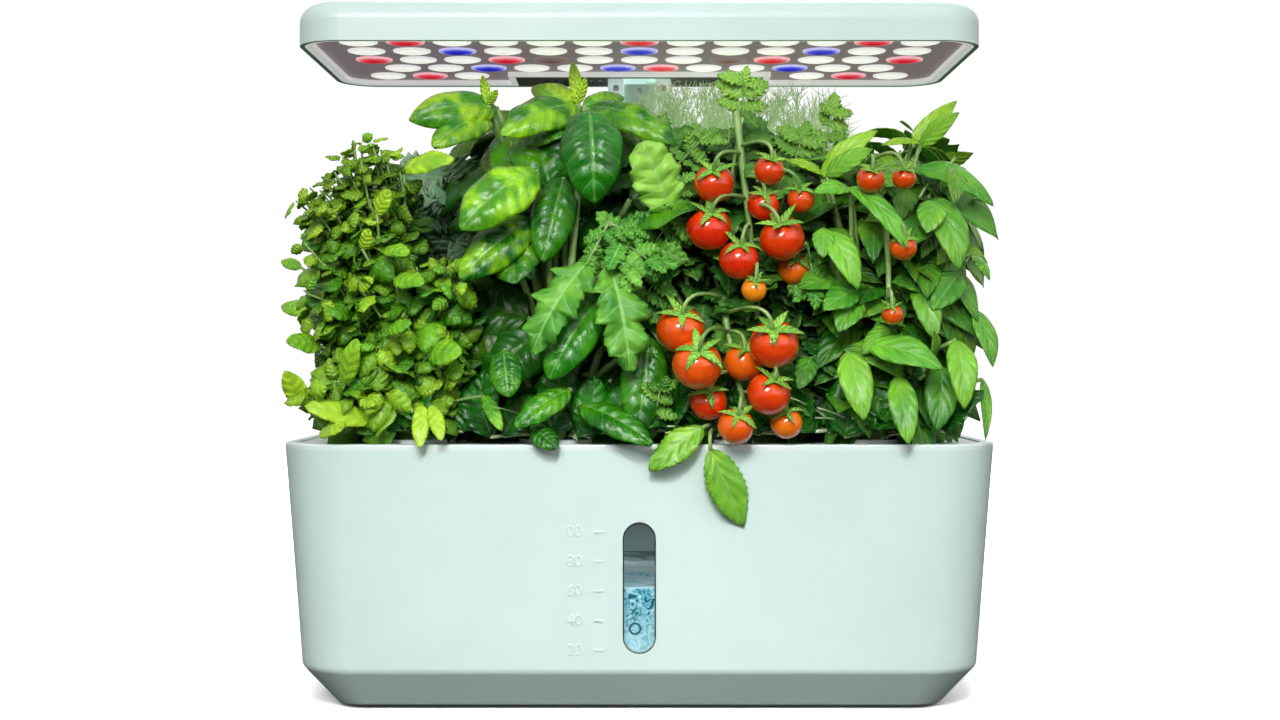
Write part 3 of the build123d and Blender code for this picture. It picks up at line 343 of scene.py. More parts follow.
# The water is a stack of rounded rectangles that follow the tank's inner wall and stand clear of
# the window's retainer, then a surface of shrinking rings with low ripples, closed by one small
# face above and one below.
water_level = 0.0500
ring_points = 240
bevel_rise, bevel_run = 0.016, 0.0135
wall_gap = 0.0028  # from the tank's outer face to the water, past its wall
retainer_half, retainer_depth = 0.0115, 0.0046
ripple_rise = 0.00035
water_rings = []
for height in (0.0046, 0.0060, bevel_top, 0.030, water_level - 0.0012, water_level):
    inward = wall_gap + wall_lean * (rim_top - height) + max(0.0, (bevel_top - height) / bevel_rise) * bevel_run
    ring = even_ring(tank_half_x - inward, tank_half_y - inward, tank_corner, ring_points)
    behind_window = (np.abs(ring[:, 0]) < retainer_half) & (ring[:, 1] < 0)
    ring[:, 1] = np.where(behind_window, ring[:, 1] + retainer_depth, ring[:, 1])
    water_rings.append(np.column_stack((ring, np.full(ring_points, height))))
surface_edge = water_rings[-1]
for share in np.linspace(0.96, 0.02, 36):
    ring = surface_edge.copy()
    ring[:, :2] *= share
    x, y = ring[:, 0], ring[:, 1]
    ripple = np.sin(210 * x + 90 * y) + np.sin(150 * y - 130 * x + 1.3) + 0.6 * np.sin(420 * y + 260 * x)
    ring[:, 2] = water_level + ripple_rise * ripple * (1 - share**8)
    water_rings.append(ring)


def ring_faces(rings, sides):
    """Corner lists and sizes of a closed tube: quads between rings, and one face at each end."""
    step = np.arange(sides)
    low = (np.arange(rings - 1)[:, None] * sides + step).ravel()
    after = (np.arange(rings - 1)[:, None] * sides + (step + 1) % sides).ravel()
    quads = np.column_stack((low, after, after + sides, low + sides)).ravel()
    last = (rings - 1) * sides + step
    return np.concatenate((quads, step[::-1], last)), np.concatenate((np.full(len(low), 4), (sides, sides)))


def unit(vectors):
    """Vectors scaled to length 1."""
    return vectors / np.maximum(np.linalg.norm(vectors, axis=-1, keepdims=True), 1e-9)


def tubes(paths, radii, sides):
    """Closed tubes along many paths (n, k, 3) at once, with radii (k,).

    Each ring stands across the path: its two axes are the cross products of the path's direction
    with a fixed vector. Returns points, corners and sizes.
    """
    count, rings, _ = paths.shape
    ahead = unit(np.gradient(paths, axis=1))
    middle = unit(paths[:, -1] - paths[:, 0])
    fixed = np.where(np.abs(middle[:, 1:2]) < 0.8, np.array([[0.1, 1.0, 0.15]]), np.array([[1.0, 0.1, 0.2]]))
    first = unit(np.cross(ahead, fixed[:, None, :]))
    second = np.cross(ahead, first)
    turn = np.arange(sides) * 2 * pi / sides
    radii = np.broadcast_to(radii, (count, rings))[..., None, None]
    ring = np.cos(turn)[:, None] * first[:, :, None, :] + np.sin(turn)[:, None] * second[:, :, None, :]
    points = paths[:, :, None, :] + radii * ring
    corners, sizes = ring_faces(rings, sides)
    all_corners = (np.arange(count)[:, None] * rings * sides + corners).ravel()
    return points.reshape(-1, 3), all_corners, np.tile(sizes, count)


# A thin black lip of the gasket shows round the lens. It is thickest over its top, where its extra
# width is painted shade under the slot's top edge. Its middle line is a stadium, a circle of the
# slot's half width whose halves are moved apart to the slot's two ends.
slot_half, slot_low, slot_high, slot_end = 0.00622, 0.0244, 0.0764, 0.0065
turn = np.linspace(0, 2 * pi, 73)
lip_z = np.sin(turn) * slot_half + np.where(np.sin(turn) > 0, slot_high - slot_end, slot_low + slot_end)
lip_path = np.column_stack((np.cos(turn) * slot_half, front_wall(lip_z) + 0.00025, lip_z))
# The lip swells over the top of the lens as painted shade.
lip_radius = 0.00026 + 0.00024 * np.clip(np.sin(turn), 0, 1) ** 2
new_piece("window_lip", *tubes(lip_path[None], lip_radius, 6), seal_rubber, "tank", "seal_rubber")

# Behind the window stands the nutrient water, blue-green, stirred and paler upwards. An air bubble
# clings to its front, a dark ring by the distance from its middle.
bubble_x, bubble_z, bubble_radius = -0.0017, 0.0335, 0.0021
water = Finish("nutrient_water")
x, y, z = water.place.parts()
swirl = water.place.noise(290.0, 3.0, 1.6)
cloud = water.place.noise(60.0)
body_blue = z.ramp(0.026, 0.047).blend((0.52, 0.86, 0.92), (0.20, 0.58, 0.72))
body_blue = swirl.ramp(0.46, 0.34).blend(body_blue, (0.66, 0.93, 1.0))
body_blue = (swirl.ramp(0.52, 0.60) * z.ramp(0.033, 0.040, 0.3, 1.0)).blend(body_blue, (0.01, 0.16, 0.22))
away = ((x - bubble_x).math("POWER", 2.0) + (z - bubble_z).math("POWER", 2.0)).math("SQRT")
body_blue = abs(away - bubble_radius).ramp(0.0002, 0.0006, 1.0, 0.0).blend(body_blue, (0.005, 0.12, 0.18))
# Seen from above the surface is a duller blue-grey. At a low angle it turns dark towards the far
# wall: a painted reflection of the dark far wall.
top_grey = y.ramp(-0.070, 0.010).blend((0.42, 0.80, 0.92), (0.50, 0.60, 0.63))
top_grey = cloud.ramp(0.40, 0.60, 0.0, 0.5).blend(top_grey, (0.72, 0.86, 0.90))
# Painted reflection: at grazing angles the back of the surface goes near black.
far = (y + cloud * 0.03).ramp(0.040, 0.050) * water.read("LayerWeight", "Facing").ramp(0.65, 0.85)
top_grey = far.blend(top_grey, (0.002, 0.015, 0.020))
tone = z.ramp(water_level - 0.0008, water_level - 0.0002).blend(body_blue, top_grey)
# The water glows faintly in its own colour: painted light that brightens it behind the lens.
water_finish = water.done(
    Base_Color=tone, Emission_Color=tone, Emission_Strength=0.14, IOR=1.33,
    Roughness=swirl.ramp(0.3, 0.7, 0.08, 0.16), Normal=swirl.bump(0.0005, 0.6),
)
corners, sizes = ring_faces(len(water_rings), ring_points)
new_piece("nutrient_water", np.vstack(water_rings), corners, sizes, water_finish, "tank", "clear_window")

tank_glow = bpy.data.lights.new("tank_glow", "POINT")
tank_glow.energy, tank_glow.shadow_soft_size = 0.008, 0.02
tank_light = placed("tank_glow", tank_glow, (0.0, 0.025, 0.064))
tank_light.visible_camera = tank_light.visible_transmission = tank_light.visible_glossy = False

# ---------------------------------------------------------------- grow deck
# The deck is a paler satin moulding with a shallow dish and eight pod holes. The net baskets are
# white, and each holds a dark peat sponge. The filling flap hinges on a steel pin at the back.
deck_plastic = moulded("deck_plastic", (0.74, 0.88, 0.84), (0.80, 0.92, 0.88), 0.36, grain=0.00004)
dress(deck_plastic, "grow_deck", "mast_foot", "fill_flap")
dress(white_plastic, "net_baskets")
peat = moulded("root_sponge", (0.018, 0.011, 0.007), (0.07, 0.045, 0.028), 0.95, grain=0.0012, fine=900.0, slow=260.0)
dress(peat, "seed_sponges")
steel = moulded("screw_steel", (0.42, 0.43, 0.44), (0.60, 0.61, 0.62), 0.28, slow=400.0, Metallic=1.0)
dress(steel, "flap_pin", "foot_screws", "bracket_screws", "plate_screws", "cover_screws", "pump_shaft")

# ---------------------------------------------------------------- mast
# The outer mast stands in the deck's foot block, and the inner mast slides in it. Both are drawn
# tubes with mint paint, and the collar, shoe and lamp bracket are moulded.
mast_paint = moulded("mast_metal", (0.62, 0.79, 0.74), (0.68, 0.85, 0.80), 0.3, grain=0.00002, slow=30.0)
dress(mast_paint, "outer_mast", "inner_mast", "mast_collar")
# The bracket glows a little in its own mint: painted light, as it sits in the lamp's shadow.
bracket_mint_painted_glow = moulded("bracket_mint_painted_glow", (0.66, 0.82, 0.77), (0.72, 0.87, 0.82), 0.34, grain=0.00003,
                       Emission_Color=(0.66, 0.84, 0.80, 1), Emission_Strength=0.45)
dress(bracket_mint_painted_glow, "lamp_bracket")
dark_plastic = moulded("dark_plastic", (0.02, 0.022, 0.024), (0.04, 0.043, 0.045), 0.45)
dress(dark_plastic, "slide_shoe", "pump_housing", "pump_end_cap", "pump_intake")
dress(moulded("cover_plastic", (0.22, 0.18, 0.195), (0.30, 0.25, 0.27), 0.5), "driver_cover")
dress(moulded("jack_plastic", (0.012, 0.012, 0.013), (0.03, 0.03, 0.03), 0.35), "dc_jack", "pump_plug")

# ---------------------------------------------------------------- lamp head
# The lamp's casing is a mint moulding, open below. A white bezel frames a mauve-grey circuit board
# that is screwed to an aluminium spreader. The buttons on top press two tact switches.
dress(mint, "lamp_shell")
dress(moulded("button_plastic", (0.80, 0.90, 0.88), (0.86, 0.95, 0.92), 0.32), "power_button", "mode_button")
# The bezel and the board glow a little: painted light that brightens the lamp's underside.
bezel_white_painted_glow = moulded("bezel_white_painted_glow", (0.82, 0.83, 0.83), (0.88, 0.89, 0.89), 0.4, grain=0.00004,
                      Emission_Color=(1, 1, 1, 1), Emission_Strength=0.42)
dress(bezel_white_painted_glow, "led_bezel")
board = moulded("board_mask", (0.26, 0.205, 0.225), (0.34, 0.27, 0.295), 0.5, slow=45.0, fine=2200.0,
                Specular_IOR_Level=0.2, Emission_Color=(0.30, 0.235, 0.255, 1), Emission_Strength=0.45)
dress(board, "led_board")
dress(moulded("spreader_metal", (0.55, 0.56, 0.57), (0.68, 0.69, 0.70), 0.35, Metallic=1.0), "heat_spreader")
circuit = moulded("circuit_green", (0.01, 0.10, 0.045), (0.02, 0.15, 0.07), 0.4, slow=200.0)
dress(circuit, "driver_board", "switch_board")
dress(moulded("switch_black", (0.015, 0.015, 0.016), (0.035, 0.035, 0.037), 0.4), "tact_switches")
dress(moulded("led_chip", (0.80, 0.72, 0.30), (0.92, 0.86, 0.45), 0.3, slow=500.0), "led_chips")

# Each lens is a clear dome over one LED. Its colour is brightest over the chip and pales towards
# the rim, so the finish measures the distance to the middle of the nearest lens of the grid.
lens_pitch_x, lens_pitch_y = 0.0190, 0.0213
lens_first_y = -0.0440
lens_radius = 0.0078
offset_row = 3.0  # the row that has twelve lenses and lies half a pitch aside


def lens_finish(name, core, halo, rim, strength):
    """A lit lens: core over the chip, then halo, then rim, by distance from the lens's middle."""
    finish = Finish(name)
    x, y, _ = finish.place.parts()
    row = (y - lens_first_y) / lens_pitch_y
    whole = row.math("ROUND")
    column = x / lens_pitch_x + whole.math("COMPARE", offset_row) * 0.5
    from_x = (column - column.math("ROUND")) * lens_pitch_x
    from_y = (row - whole) * lens_pitch_y
    away = (from_x.math("POWER", 2.0) + from_y.math("POWER", 2.0)).math("SQRT") / lens_radius
    away = away + finish.place.noise(700.0).ramp(0.3, 0.7, -0.04, 0.04)
    tone = away.ramp(0.70, 0.98).blend(away.ramp(0.30, 0.62).blend(core, halo), rim)
    return finish.done(Base_Color=tone, Emission_Color=tone, Emission_Strength=strength, Roughness=0.3,
                       Specular_IOR_Level=0.12)


dress(lens_finish("white_lens", (0.94, 0.93, 0.84), (1.0, 1.0, 0.96), (0.80, 0.79, 0.78), 0.85), "white_lenses")
dress(lens_finish("red_lens", (0.60, 0.003, 0.015), (0.90, 0.05, 0.09), (1.0, 0.55, 0.62), 0.75), "red_lenses")
dress(lens_finish("blue_lens", (0.004, 0.004, 0.42), (0.05, 0.05, 0.80), (0.62, 0.60, 1.0), 0.75), "blue_lenses")
dress(lens_finish("far_red_lens", (0.30, 0.12, 0.15), (0.40, 0.24, 0.27), (0.45, 0.35, 0.38), 0.35), "far_red_lenses")

# ---------------------------------------------------------------- pump
# A small magnetic-drive pump hangs under the deck on its riser tube. Its stator is potted iron, and
# a foam filter sits behind the intake grille. A rubber lead runs up into the mast.
dress(moulded("stator_iron", (0.10, 0.10, 0.105), (0.20, 0.20, 0.21), 0.5, slow=300.0, Metallic=0.7), "pump_stator")
foam = moulded("filter_foam", (0.02, 0.022, 0.025), (0.06, 0.065, 0.07), 0.95, grain=0.0012, fine=700.0, slow=400.0)
dress(foam, "pump_filter")
dress(moulded("riser_plastic", (0.30, 0.33, 0.34), (0.38, 0.41, 0.42), 0.3), "riser_tube")
dress(moulded("lead_sheath", (0.02, 0.02, 0.02), (0.04, 0.04, 0.04), 0.55), "pump_lead")
dress(moulded("impeller_plastic", (0.70, 0.72, 0.73), (0.80, 0.82, 0.82), 0.35), "impeller")
dress(moulded("magnet", (0.06, 0.06, 0.065), (0.11, 0.11, 0.12), 0.45, slow=300.0), "rotor_magnet")


# ---------------------------------------------------------------- leaves and stems
# Each blade is one curved sheet, thickened on both sides.
def blades(base, along, face, length, width, outline, rows, columns, bend=0.6, fold=0.2, cup=0.1,
           ruffle=0.0, waves=3.0, quilt=0.0, pairs=6.0, slant=0.5, phase=None):
    """Leaf blades as one array: rows from base to tip (u in 0..1) and columns across (v in -1..1).

    The midrib is an arc that bends by bend radians, u -> length * (sin(bend u), cos(bend u) - 1) / bend.
    The half width is width * outline(u). Off the midrib the blade rises by fold * |v| and sinks by
    cup * v^2, both by the width without its teeth. Its edge waves by ruffle * v^2 * sin(2 pi waves u),
    and it puffs up by quilt between pairs of side veins that leave the midrib at a slant. Returns
    points, corners, sizes and uv.
    """
    count = len(base)
    u = np.linspace(0, 1, rows)[None, :, None]
    v = np.linspace(-1, 1, columns)[None, None, :]
    edge = outline(np.linspace(0, 1, rows))
    calm = np.convolve(np.pad(edge, 3, mode="edge"), np.full(7, 1 / 7), "valid").reshape(1, -1, 1)
    length, width = np.reshape(length, (-1, 1, 1)), np.reshape(width, (-1, 1, 1))
    half = width * edge.reshape(1, -1, 1)
    bend = np.broadcast_to(bend, count).reshape(-1, 1, 1)
    bend = np.maximum(np.abs(bend), 1e-3) * np.sign(bend + 1e-9)
    drop = length * (1 - np.cos(bend * u)) / bend
    phase = np.zeros(count) if phase is None else phase
    wave = np.sin(2 * pi * (waves * u + phase[:, None, None]) + 2.2 * np.sign(v))
    lift = width * calm * (fold * np.abs(v) - cup * v**2) + width * ruffle * v**2 * wave
    if quilt:
        cell = np.abs(np.sin(pi * pairs * (u - slant * np.abs(v) * half / length)))
        lift = lift + quilt * half * (cell**0.6) * np.sin(pi * np.minimum(np.abs(v) * 1.05, 1.0))
    side = np.cross(along, face)
    rise = lift * np.cos(bend * u) - drop
    ahead = length * np.sin(bend * u) / bend + lift * np.sin(bend * u)
    points = (
        base[:, None, None, :]
        + along[:, None, None, :] * (ahead * np.ones_like(v))[..., None]
        + side[:, None, None, :] * (half * v)[..., None]
        + face[:, None, None, :] * rise[..., None]
    )
    i = np.arange(rows - 1)[:, None] * columns + np.arange(columns - 1)
    quad = np.stack((i, i + 1, i + columns + 1, i + columns), axis=-1).reshape(-1, 4)
    corners = (np.arange(count)[:, None, None] * rows * columns + quad).reshape(-1, 4)
    uv = np.stack(np.broadcast_arrays((v + 1) / 2, u + np.zeros((count, 1, 1))), axis=-1)
    return points.reshape(-1, 3), corners.ravel(), np.full(len(corners), 4), uv.reshape(-1, 2)


def curled(rng, stance, outline, grid, bends, **form):
    """Blades that each bend and wave in their own way. stance is base, along, face, length, width."""
    count = len(stance[0])
    return blades(*stance, outline, *grid, bend=rng.uniform(*bends, count), phase=rng.uniform(0, 1, count), **form)


def ovate(wide, point, bite=0.0):
    """Half width along a leaf: u^a (1 - u)^point scaled to 1, widest at wide, every other row cut by bite."""
    power = wide * point / (1 - wide)

    def outline(u):
        swell = np.clip(u, 0.004, 1) ** power * np.clip(1 - u, 0.004, 1) ** point
        notch = 1 - bite * (np.arange(len(u)) % 2) * (u > 0.08)
        return swell / (wide**power * (1 - wide) ** point) * notch

    return outline


def serrate(wide, point, lobes, depth, fine=0.0):
    """The ovate half width, cut in at each tooth: it grows along a tooth and drops by depth at its tip.

    Three finer teeth stand on each tooth and are cut in by fine.
    """
    plain = ovate(wide, point)

    def outline(u):
        coarse = depth * (1 - (lobes * u) % 1)
        return plain(u) * (1 - (coarse + fine * (1 - (3 * lobes * u) % 1)) * (u < 0.97))

    return outline


def squared(vectors, others, share=1.0):
    """Unit vectors less a share of what lies along others. With share 1 they stand square to them."""
    return unit(vectors - share * others * np.sum(vectors * others, axis=1, keepdims=True))


def bent(start, middle, end, rings):
    """Quadratic curves from start to end that are drawn towards middle."""
    t = np.linspace(0, 1, rings)[None, :, None]
    return (1 - t) ** 2 * start[:, None] + 2 * t * (1 - t) * middle[:, None] + t**2 * end[:, None]


def arcs(start, end, rise, rings, wander=0.0, rng=None):
    """Bent stems from start to end, whose middle lies rise above and off by wander."""
    middle = start + (end - start) * np.array([0.30, 0.30, 0.62]) + np.array([0, 0, rise])
    if wander:
        middle = middle + rng.normal(0, wander, middle.shape)
    return bent(start, middle, end, rings)


def leaf_finish(name, dark, light, young, vein, roughness, pairs=6.0, slant=0.35, vein_share=0.6, puff=0.0005,
                coat=0.25, painted_edge_highlight=0.0):
    """A leaf coloured along its own UV: x runs across it, y from base to tip.

    The midrib lies at x 0.5 and side veins leave it at a slant, both in the vein colour. Between
    them the blade goes from dark to light by noise and by its own shade (attribute green), and to
    young by its age (red) and in patches (blue). A blade that grows deep inside the plant gets
    painted shade: its colour goes towards near black and its coat fades (attribute alpha, 1 outside
    and 0 deep inside). It puffs up between the veins, and its edge goes towards young by the given
    share, a painted highlight on curled edges.
    """
    finish = Finish(name)
    x, y, _ = finish.read("UVMap", uv_map="blade").parts()
    tint = finish.read("Attribute", "Color", attribute_name="leaf")
    age, shade, patch = tint.parts("Color", ("Red", "Green", "Blue"))
    painted_light_share = finish.read("Attribute", "Alpha", attribute_name="leaf")
    cloud, speck = finish.place.noise(75.0, 2.5), finish.place.noise(1500.0)
    across = abs(x * 2.0 - 1.0)
    cell = ((y - across * (slant * 0.5)) * pairs).math("FRACT")
    near = abs(cell * 2.0 - 1.0)  # 1 on a side vein, 0 half way to the next
    ribs = near.ramp(0.84, 0.97) * across.ramp(0.75, 1.0, 1.0, 0.15) * 0.55
    lines = ribs.most(across.ramp(0.03, 0.10, 1.0, 0.0))
    blade = (shade * 0.6 + cloud.ramp(0.3, 0.75, -0.1, 0.5)).blend(dark, light)
    patch = patch * cloud.ramp(0.42, 0.6) * near.ramp(0.3, 0.9, 1.0, 0.7)
    # Painted highlight: the leaf's edge goes towards the young colour.
    patch = patch.most(across.ramp(0.70, 0.95, 0.0, painted_edge_highlight))
    blade = age.most(patch).math("MINIMUM", 1.0).blend(blade, young)
    blade = (lines * vein_share).blend(blade, vein)
    # Painted shade: blades deep in the plants go towards near black.
    blade = painted_light_share.ramp(0.0, 1.0, 0.84, 0.0).blend(blade, (0.003, 0.030, 0.002))
    return finish.done(
        Base_Color=blade, Roughness=speck.ramp(0.3, 0.7, roughness * 0.85, roughness * 1.15),
        Normal=(near * -0.8 + speck * 0.25).bump(puff, 0.8), Coat_Weight=painted_light_share * coat, Coat_Roughness=0.22,
        Specular_IOR_Level=0.3,
    )


leaf_thickness = 0.00028
box_margin = 0.0003  # how far leaves keep inside the CAD part's own box
# Painted shade darkens blades that grow deep inside the plants, by their depth.
painted_shade_depth = 0.028  # light falls off by 1 over this depth, from 1.15 at the outside
top_share = 1.2  # how much deeper a blade counts below its piece's top than from a side
canopy_low = np.array((-0.146, -0.080, 0.0))
canopy_high = np.array((0.146, 0.062, 0.300))
mast_front, mast_side = 0.0363, 0.0155


def clear_of_mast(points):
    """Points moved to the mast's front where they would stand in it or behind it, less so beside it."""
    points = np.array(points)
    free = mast_front + 3.0 * np.maximum(np.abs(points[..., 0]) - mast_side, 0)
    points[..., 1] = np.minimum(points[..., 1], free)
    return points


def leaves(name, made, age, shade, patch, finish, slot, least_painted_light=0.0):
    """Makes one piece of many blades, each with its own age, shade and patches, from 0 to 1.

    How deep a blade grows is the distance from its middle to the nearest outer side of all the
    plants together, or to the top of its own piece. The deeper it grows, the more painted shade it
    gets: from 32 mm on it is as dark as it gets, at the lowest light given. Blades low over the deck
    get painted shade as well.
    """
    points, corners, sizes, uv = made
    each = len(points) // len(age)
    points = clear_of_mast(np.clip(points, np.array(cad_low) + box_margin, np.array(cad_high) - box_margin))
    middle = points.reshape(len(age), each, 3).mean(axis=1)
    edge = np.minimum(middle - canopy_low, canopy_high - middle)[:, :2].min(axis=1)
    edge = np.minimum(edge, top_share * (points[:, 2].max() - middle[:, 2]))
    # Painted shade: the light goes down with depth, and over the last 35 mm above the deck.
    light = np.clip(1.15 - edge / painted_shade_depth, least_painted_light, 1) * np.interp(middle[:, 2], (0.105, 0.140), (0.75, 1.0))
    tint = np.repeat(np.column_stack((age, shade, patch, light)), each, axis=0)
    piece = new_piece(name, points, corners, sizes, finish, "deck", slot, uv, tint)
    solid = piece.modifiers.new("thickness", "SOLIDIFY")
    solid.thickness, solid.offset = leaf_thickness, 0.0
    return piece


def spots_on(paths, places, fixed):
    """Where shares of each path lie, the path's direction there, and two directions square to it."""
    index = np.asarray(places) * (paths.shape[1] - 1)
    low = np.minimum(index.astype(int), paths.shape[1] - 2)
    part = (index - low)[None, :, None]
    spot = paths[:, low] * (1 - part) + paths[:, low + 1] * part
    ahead = unit(paths[:, low + 1] - paths[:, low])
    first = unit(np.cross(ahead, np.array(fixed)))
    return spot, ahead, first, np.cross(ahead, first)


def shoots(rng, paths, places, reach, size, aspect, out, tilt=0.35, droop=0.25, loose=0.3):
    """Leaves set along shoots in opposite pairs, turned a quarter from node to node.

    places are the shares of each path where leaves stand, size a table of their length by share,
    and out the direction that a plant's leaves turn their upper face to, each a little off it by
    loose. Returns base, along, face, length, width, and each leaf's place on its path.
    """
    spot, ahead, first, second = spots_on(paths, places, (0.2, 0.9, 0.3))
    nodes = (len(paths), len(places))
    turn = rng.uniform(0, 2 * pi, (len(paths), 1)) + np.arange(len(places))[None, :] * (pi / 2)
    turn = turn + rng.normal(0, 0.25, nodes)
    base, along = [], []
    for half_turn in (0.0, pi):
        angle = (turn + half_turn)[..., None]
        outward = np.cos(angle) * first + np.sin(angle) * second
        reach_out = unit(outward + tilt * ahead + np.array([0, 0, -droop]) + rng.normal(0, 0.18, outward.shape))
        base.append((spot + reach_out * reach).reshape(-1, 3))
        along.append(reach_out.reshape(-1, 3))
    base, along = np.concatenate(base), np.concatenate(along)
    share = np.tile(np.broadcast_to(places, nodes).ravel(), 2)
    want = unit(0.5 * np.tile(ahead.reshape(-1, 3), (2, 1)) + np.asarray(out) + rng.normal(0, loose, base.shape))
    along = unit(along - 0.35 * want * np.sum(along * want, axis=1, keepdims=True))
    face = squared(want, along)
    length = np.interp(share, *size) * rng.uniform(0.8, 1.2, len(share))
    return base, along, face, length, length * aspect * rng.uniform(0.88, 1.12, len(share)), share


def shell_points(rng, low, high, faces, inset=0.0):
    """Points spread over the named sides of a box: each of faces is (axis, end, count)."""
    low, high = np.asarray(low, dtype=float), np.asarray(high, dtype=float)
    found = []
    for axis, end, count in faces:
        across = [k for k in range(3) if k != axis]
        wide, tall = (high - low)[across]
        columns = max(1, int(round((count * wide / tall) ** 0.5)))
        lines = max(1, int(round(count / columns)))
        grid = np.stack(np.meshgrid(np.arange(columns), np.arange(lines), indexing="ij"), axis=-1).reshape(-1, 2)
        cell = (grid + rng.uniform(0.1, 0.9, grid.shape)) / (columns, lines)
        spot = np.empty((len(grid), 3))
        spot[:, across] = low[across] + cell * (high - low)[across]
        spot[:, axis] = (low, high)[end][axis] + (1 - 2 * end) * rng.uniform(0, 1, len(grid)) * inset
        found.append(spot)
    return np.concatenate(found)


def placed_blades(rows, outline, grid, **form):
    """Blades that stand at known places, one row of numbers each, in millimetres and radians.

    A row gives base x, y, z and tip x, y, z, the half width, how far the face turns to +x and to
    +z from facing the front, and the bend. The blade's arc starts half its bend above the line
    from base to tip, so that it ends at the tip. Returns the made blades and their bases.
    """
    base, tip, half = rows[:, :3] / 1000, rows[:, 3:6] / 1000, rows[:, 6] / 1000
    chord = unit(tip - base)
    face = squared(unit(np.column_stack((rows[:, 7], -np.ones(len(rows)), rows[:, 8]))), chord)
    bend = rows[:, 9]
    along = chord * np.cos(bend / 2)[:, None] + face * np.sin(bend / 2)[:, None]
    length = np.linalg.norm(tip - base, axis=1) * (bend / 2) / np.sin(bend / 2)
    phase = np.linspace(0, 5, len(rows)) % 1
    return blades(base, along, squared(face, along), length, half, outline, *grid, bend=bend, phase=phase, **form), base


stem_finish = moulded("stem_green", (0.16, 0.34, 0.07), (0.36, 0.55, 0.18), 0.45, grain=0.0001, fine=900.0, slow=70.0)
pod_xs = (-0.093, -0.031, 0.031, 0.093)
pod_ys = (-0.040, 0.012)
sponge_top = 0.1050


def pod_starts(rng, column, row, count, spread=0.004):
    """Points on a pod's sponge that stems rise from."""
    spot = np.array([pod_xs[column], pod_ys[row], sponge_top])
    return spot + np.column_stack((rng.normal(0, spread, (count, 2)), np.zeros(count)))


def joined(parts):
    """Several point, corner and size arrays as one."""
    starts = np.cumsum([0] + [len(part[0]) for part in parts])
    points, corners, sizes = zip(*parts)
    corners = [one + start for one, start in zip(corners, starts)]
    return np.concatenate(points), np.concatenate(corners), np.concatenate(sizes)


def stems(name, slot, *bundles, finish=stem_finish):
    """One piece of many stems. A bundle is paths, the radius at their base and tip, and the sides."""
    made = [tubes(paths, np.linspace(thick, thin, paths.shape[1]), sides) for paths, thick, thin, sides in bundles]
    return new_piece(name, *joined(made), finish, "deck", slot)


def placed_leaves(rng, name, rows, outline, grid, finish, slot, pod, rings, stalk, **form):
    """Leaves at known places, whose last three columns are age, shade and patches, on stalks from their pod."""
    made, base = placed_blades(rows, outline, grid, **form)
    leaves(f"{name}_leaves", made, *rows[:, 10:].T, finish, slot, least_painted_light=0.85)
    stems(f"{name}_stalks", slot, (arcs(pod_starts(rng, *pod, len(base), 0.006), base, 0.004, rings), *stalk))


def leafy_plant(rng, name, paths, finish, slot, shoot, outline, grid, bends, tips, patch, stem, least_painted_light=0.0, **form):
    """A plant with leaf pairs along its stems. shoot is what shoots() takes after the paths.

    Leaves grow younger past the first number of tips, as fast as the second says, by a draw between
    the other two. patch is the most that their patches show.
    """
    *stance, share = shoots(rng, paths, *shoot)
    made = curled(rng, stance, outline, grid, bends, **form)
    count, (start, speed, *ages) = len(share), tips
    age = np.clip((share - start) * speed, 0, 1) * rng.uniform(*ages, count)
    shade = rng.uniform(0, 1, count)
    piece = leaves(f"{name}_leaves", made, age, shade, rng.uniform(0, patch, count) ** 2, finish, slot, least_painted_light=least_painted_light)
    stems(f"{name}_stems", slot, (paths, *stem, 6))
    return piece


# ---------------------------------------------------------------- lemon balm
# Lemon balm fills the front left pod: thin stems with opposite pairs of small scalloped leaves,
# yellow-green at the tips.
rng = np.random.default_rng(11)
balm_ends = shell_points(
    rng, (-0.132, -0.072, 0.120), (-0.066, -0.018, 0.205), ((1, 0, 32), (0, 0, 24), (2, 1, 10), (1, 1, 6)), 0.016
)
balm_ends[:, 2] = np.minimum(balm_ends[:, 2], np.interp(balm_ends[:, 0], (-0.105, -0.090), (0.208, 0.176)))
balm_tops = np.array((
    (-137, -56, 203), (-131, -58, 208), (-125, -56, 206), (-134, -50, 198), (-128, -62, 200), (-121, -60, 214),
    (-113, -58, 223), (-107, -56, 226), (-117, -62, 216), (-110, -62, 218), (-101, -58, 220), (-95, -60, 214),
    (-119, -52, 221), (-112, -50, 227), (-104, -50, 224), (-99, -46, 216), (-116, -56, 210), (-133, -54, 202),
    (-127, -58, 207), (-123, -44, 214), (-108, -40, 217), (-116, -48, 224), (-108, -52, 226), (-102, -44, 222),
    (-120, -50, 216), (-112, -44, 220), (-106, -46, 214), (-124, -54, 209), (-116, -40, 213), (-100, -52, 210),
)) / 1000
balm_ends = np.vstack((balm_ends, balm_tops))
balm_stems = arcs(pod_starts(rng, 0, 0, len(balm_ends)), balm_ends, 0.006, 14, 0.005, rng)
balm_green = leaf_finish("light_leaf", (0.030, 0.22, 0.006), (0.17, 0.58, 0.018), (0.56, 0.88, 0.03),
                         (0.30, 0.58, 0.10), 0.42, pairs=5.0, vein_share=0.45)
base, along, face, length, width, share = shoots(
    rng, balm_stems, np.linspace(0.40, 1.0, 9), 0.0012, ((0.3, 0.7, 1.0), (0.016, 0.018, 0.010)), 0.38,
    (-0.15, -0.75, 0.45), loose=0.6,
)
small = np.interp(base[:, 2], (0.120, 0.160, 0.205), (1.05, 0.88, 0.62))
made = curled(rng, (base, along, face, length * small, width * small), ovate(0.42, 0.8, 0.16), (9, 3), (-0.3, 1.2),
              fold=0.0, cup=0.35, ruffle=0.10, waves=2.0)
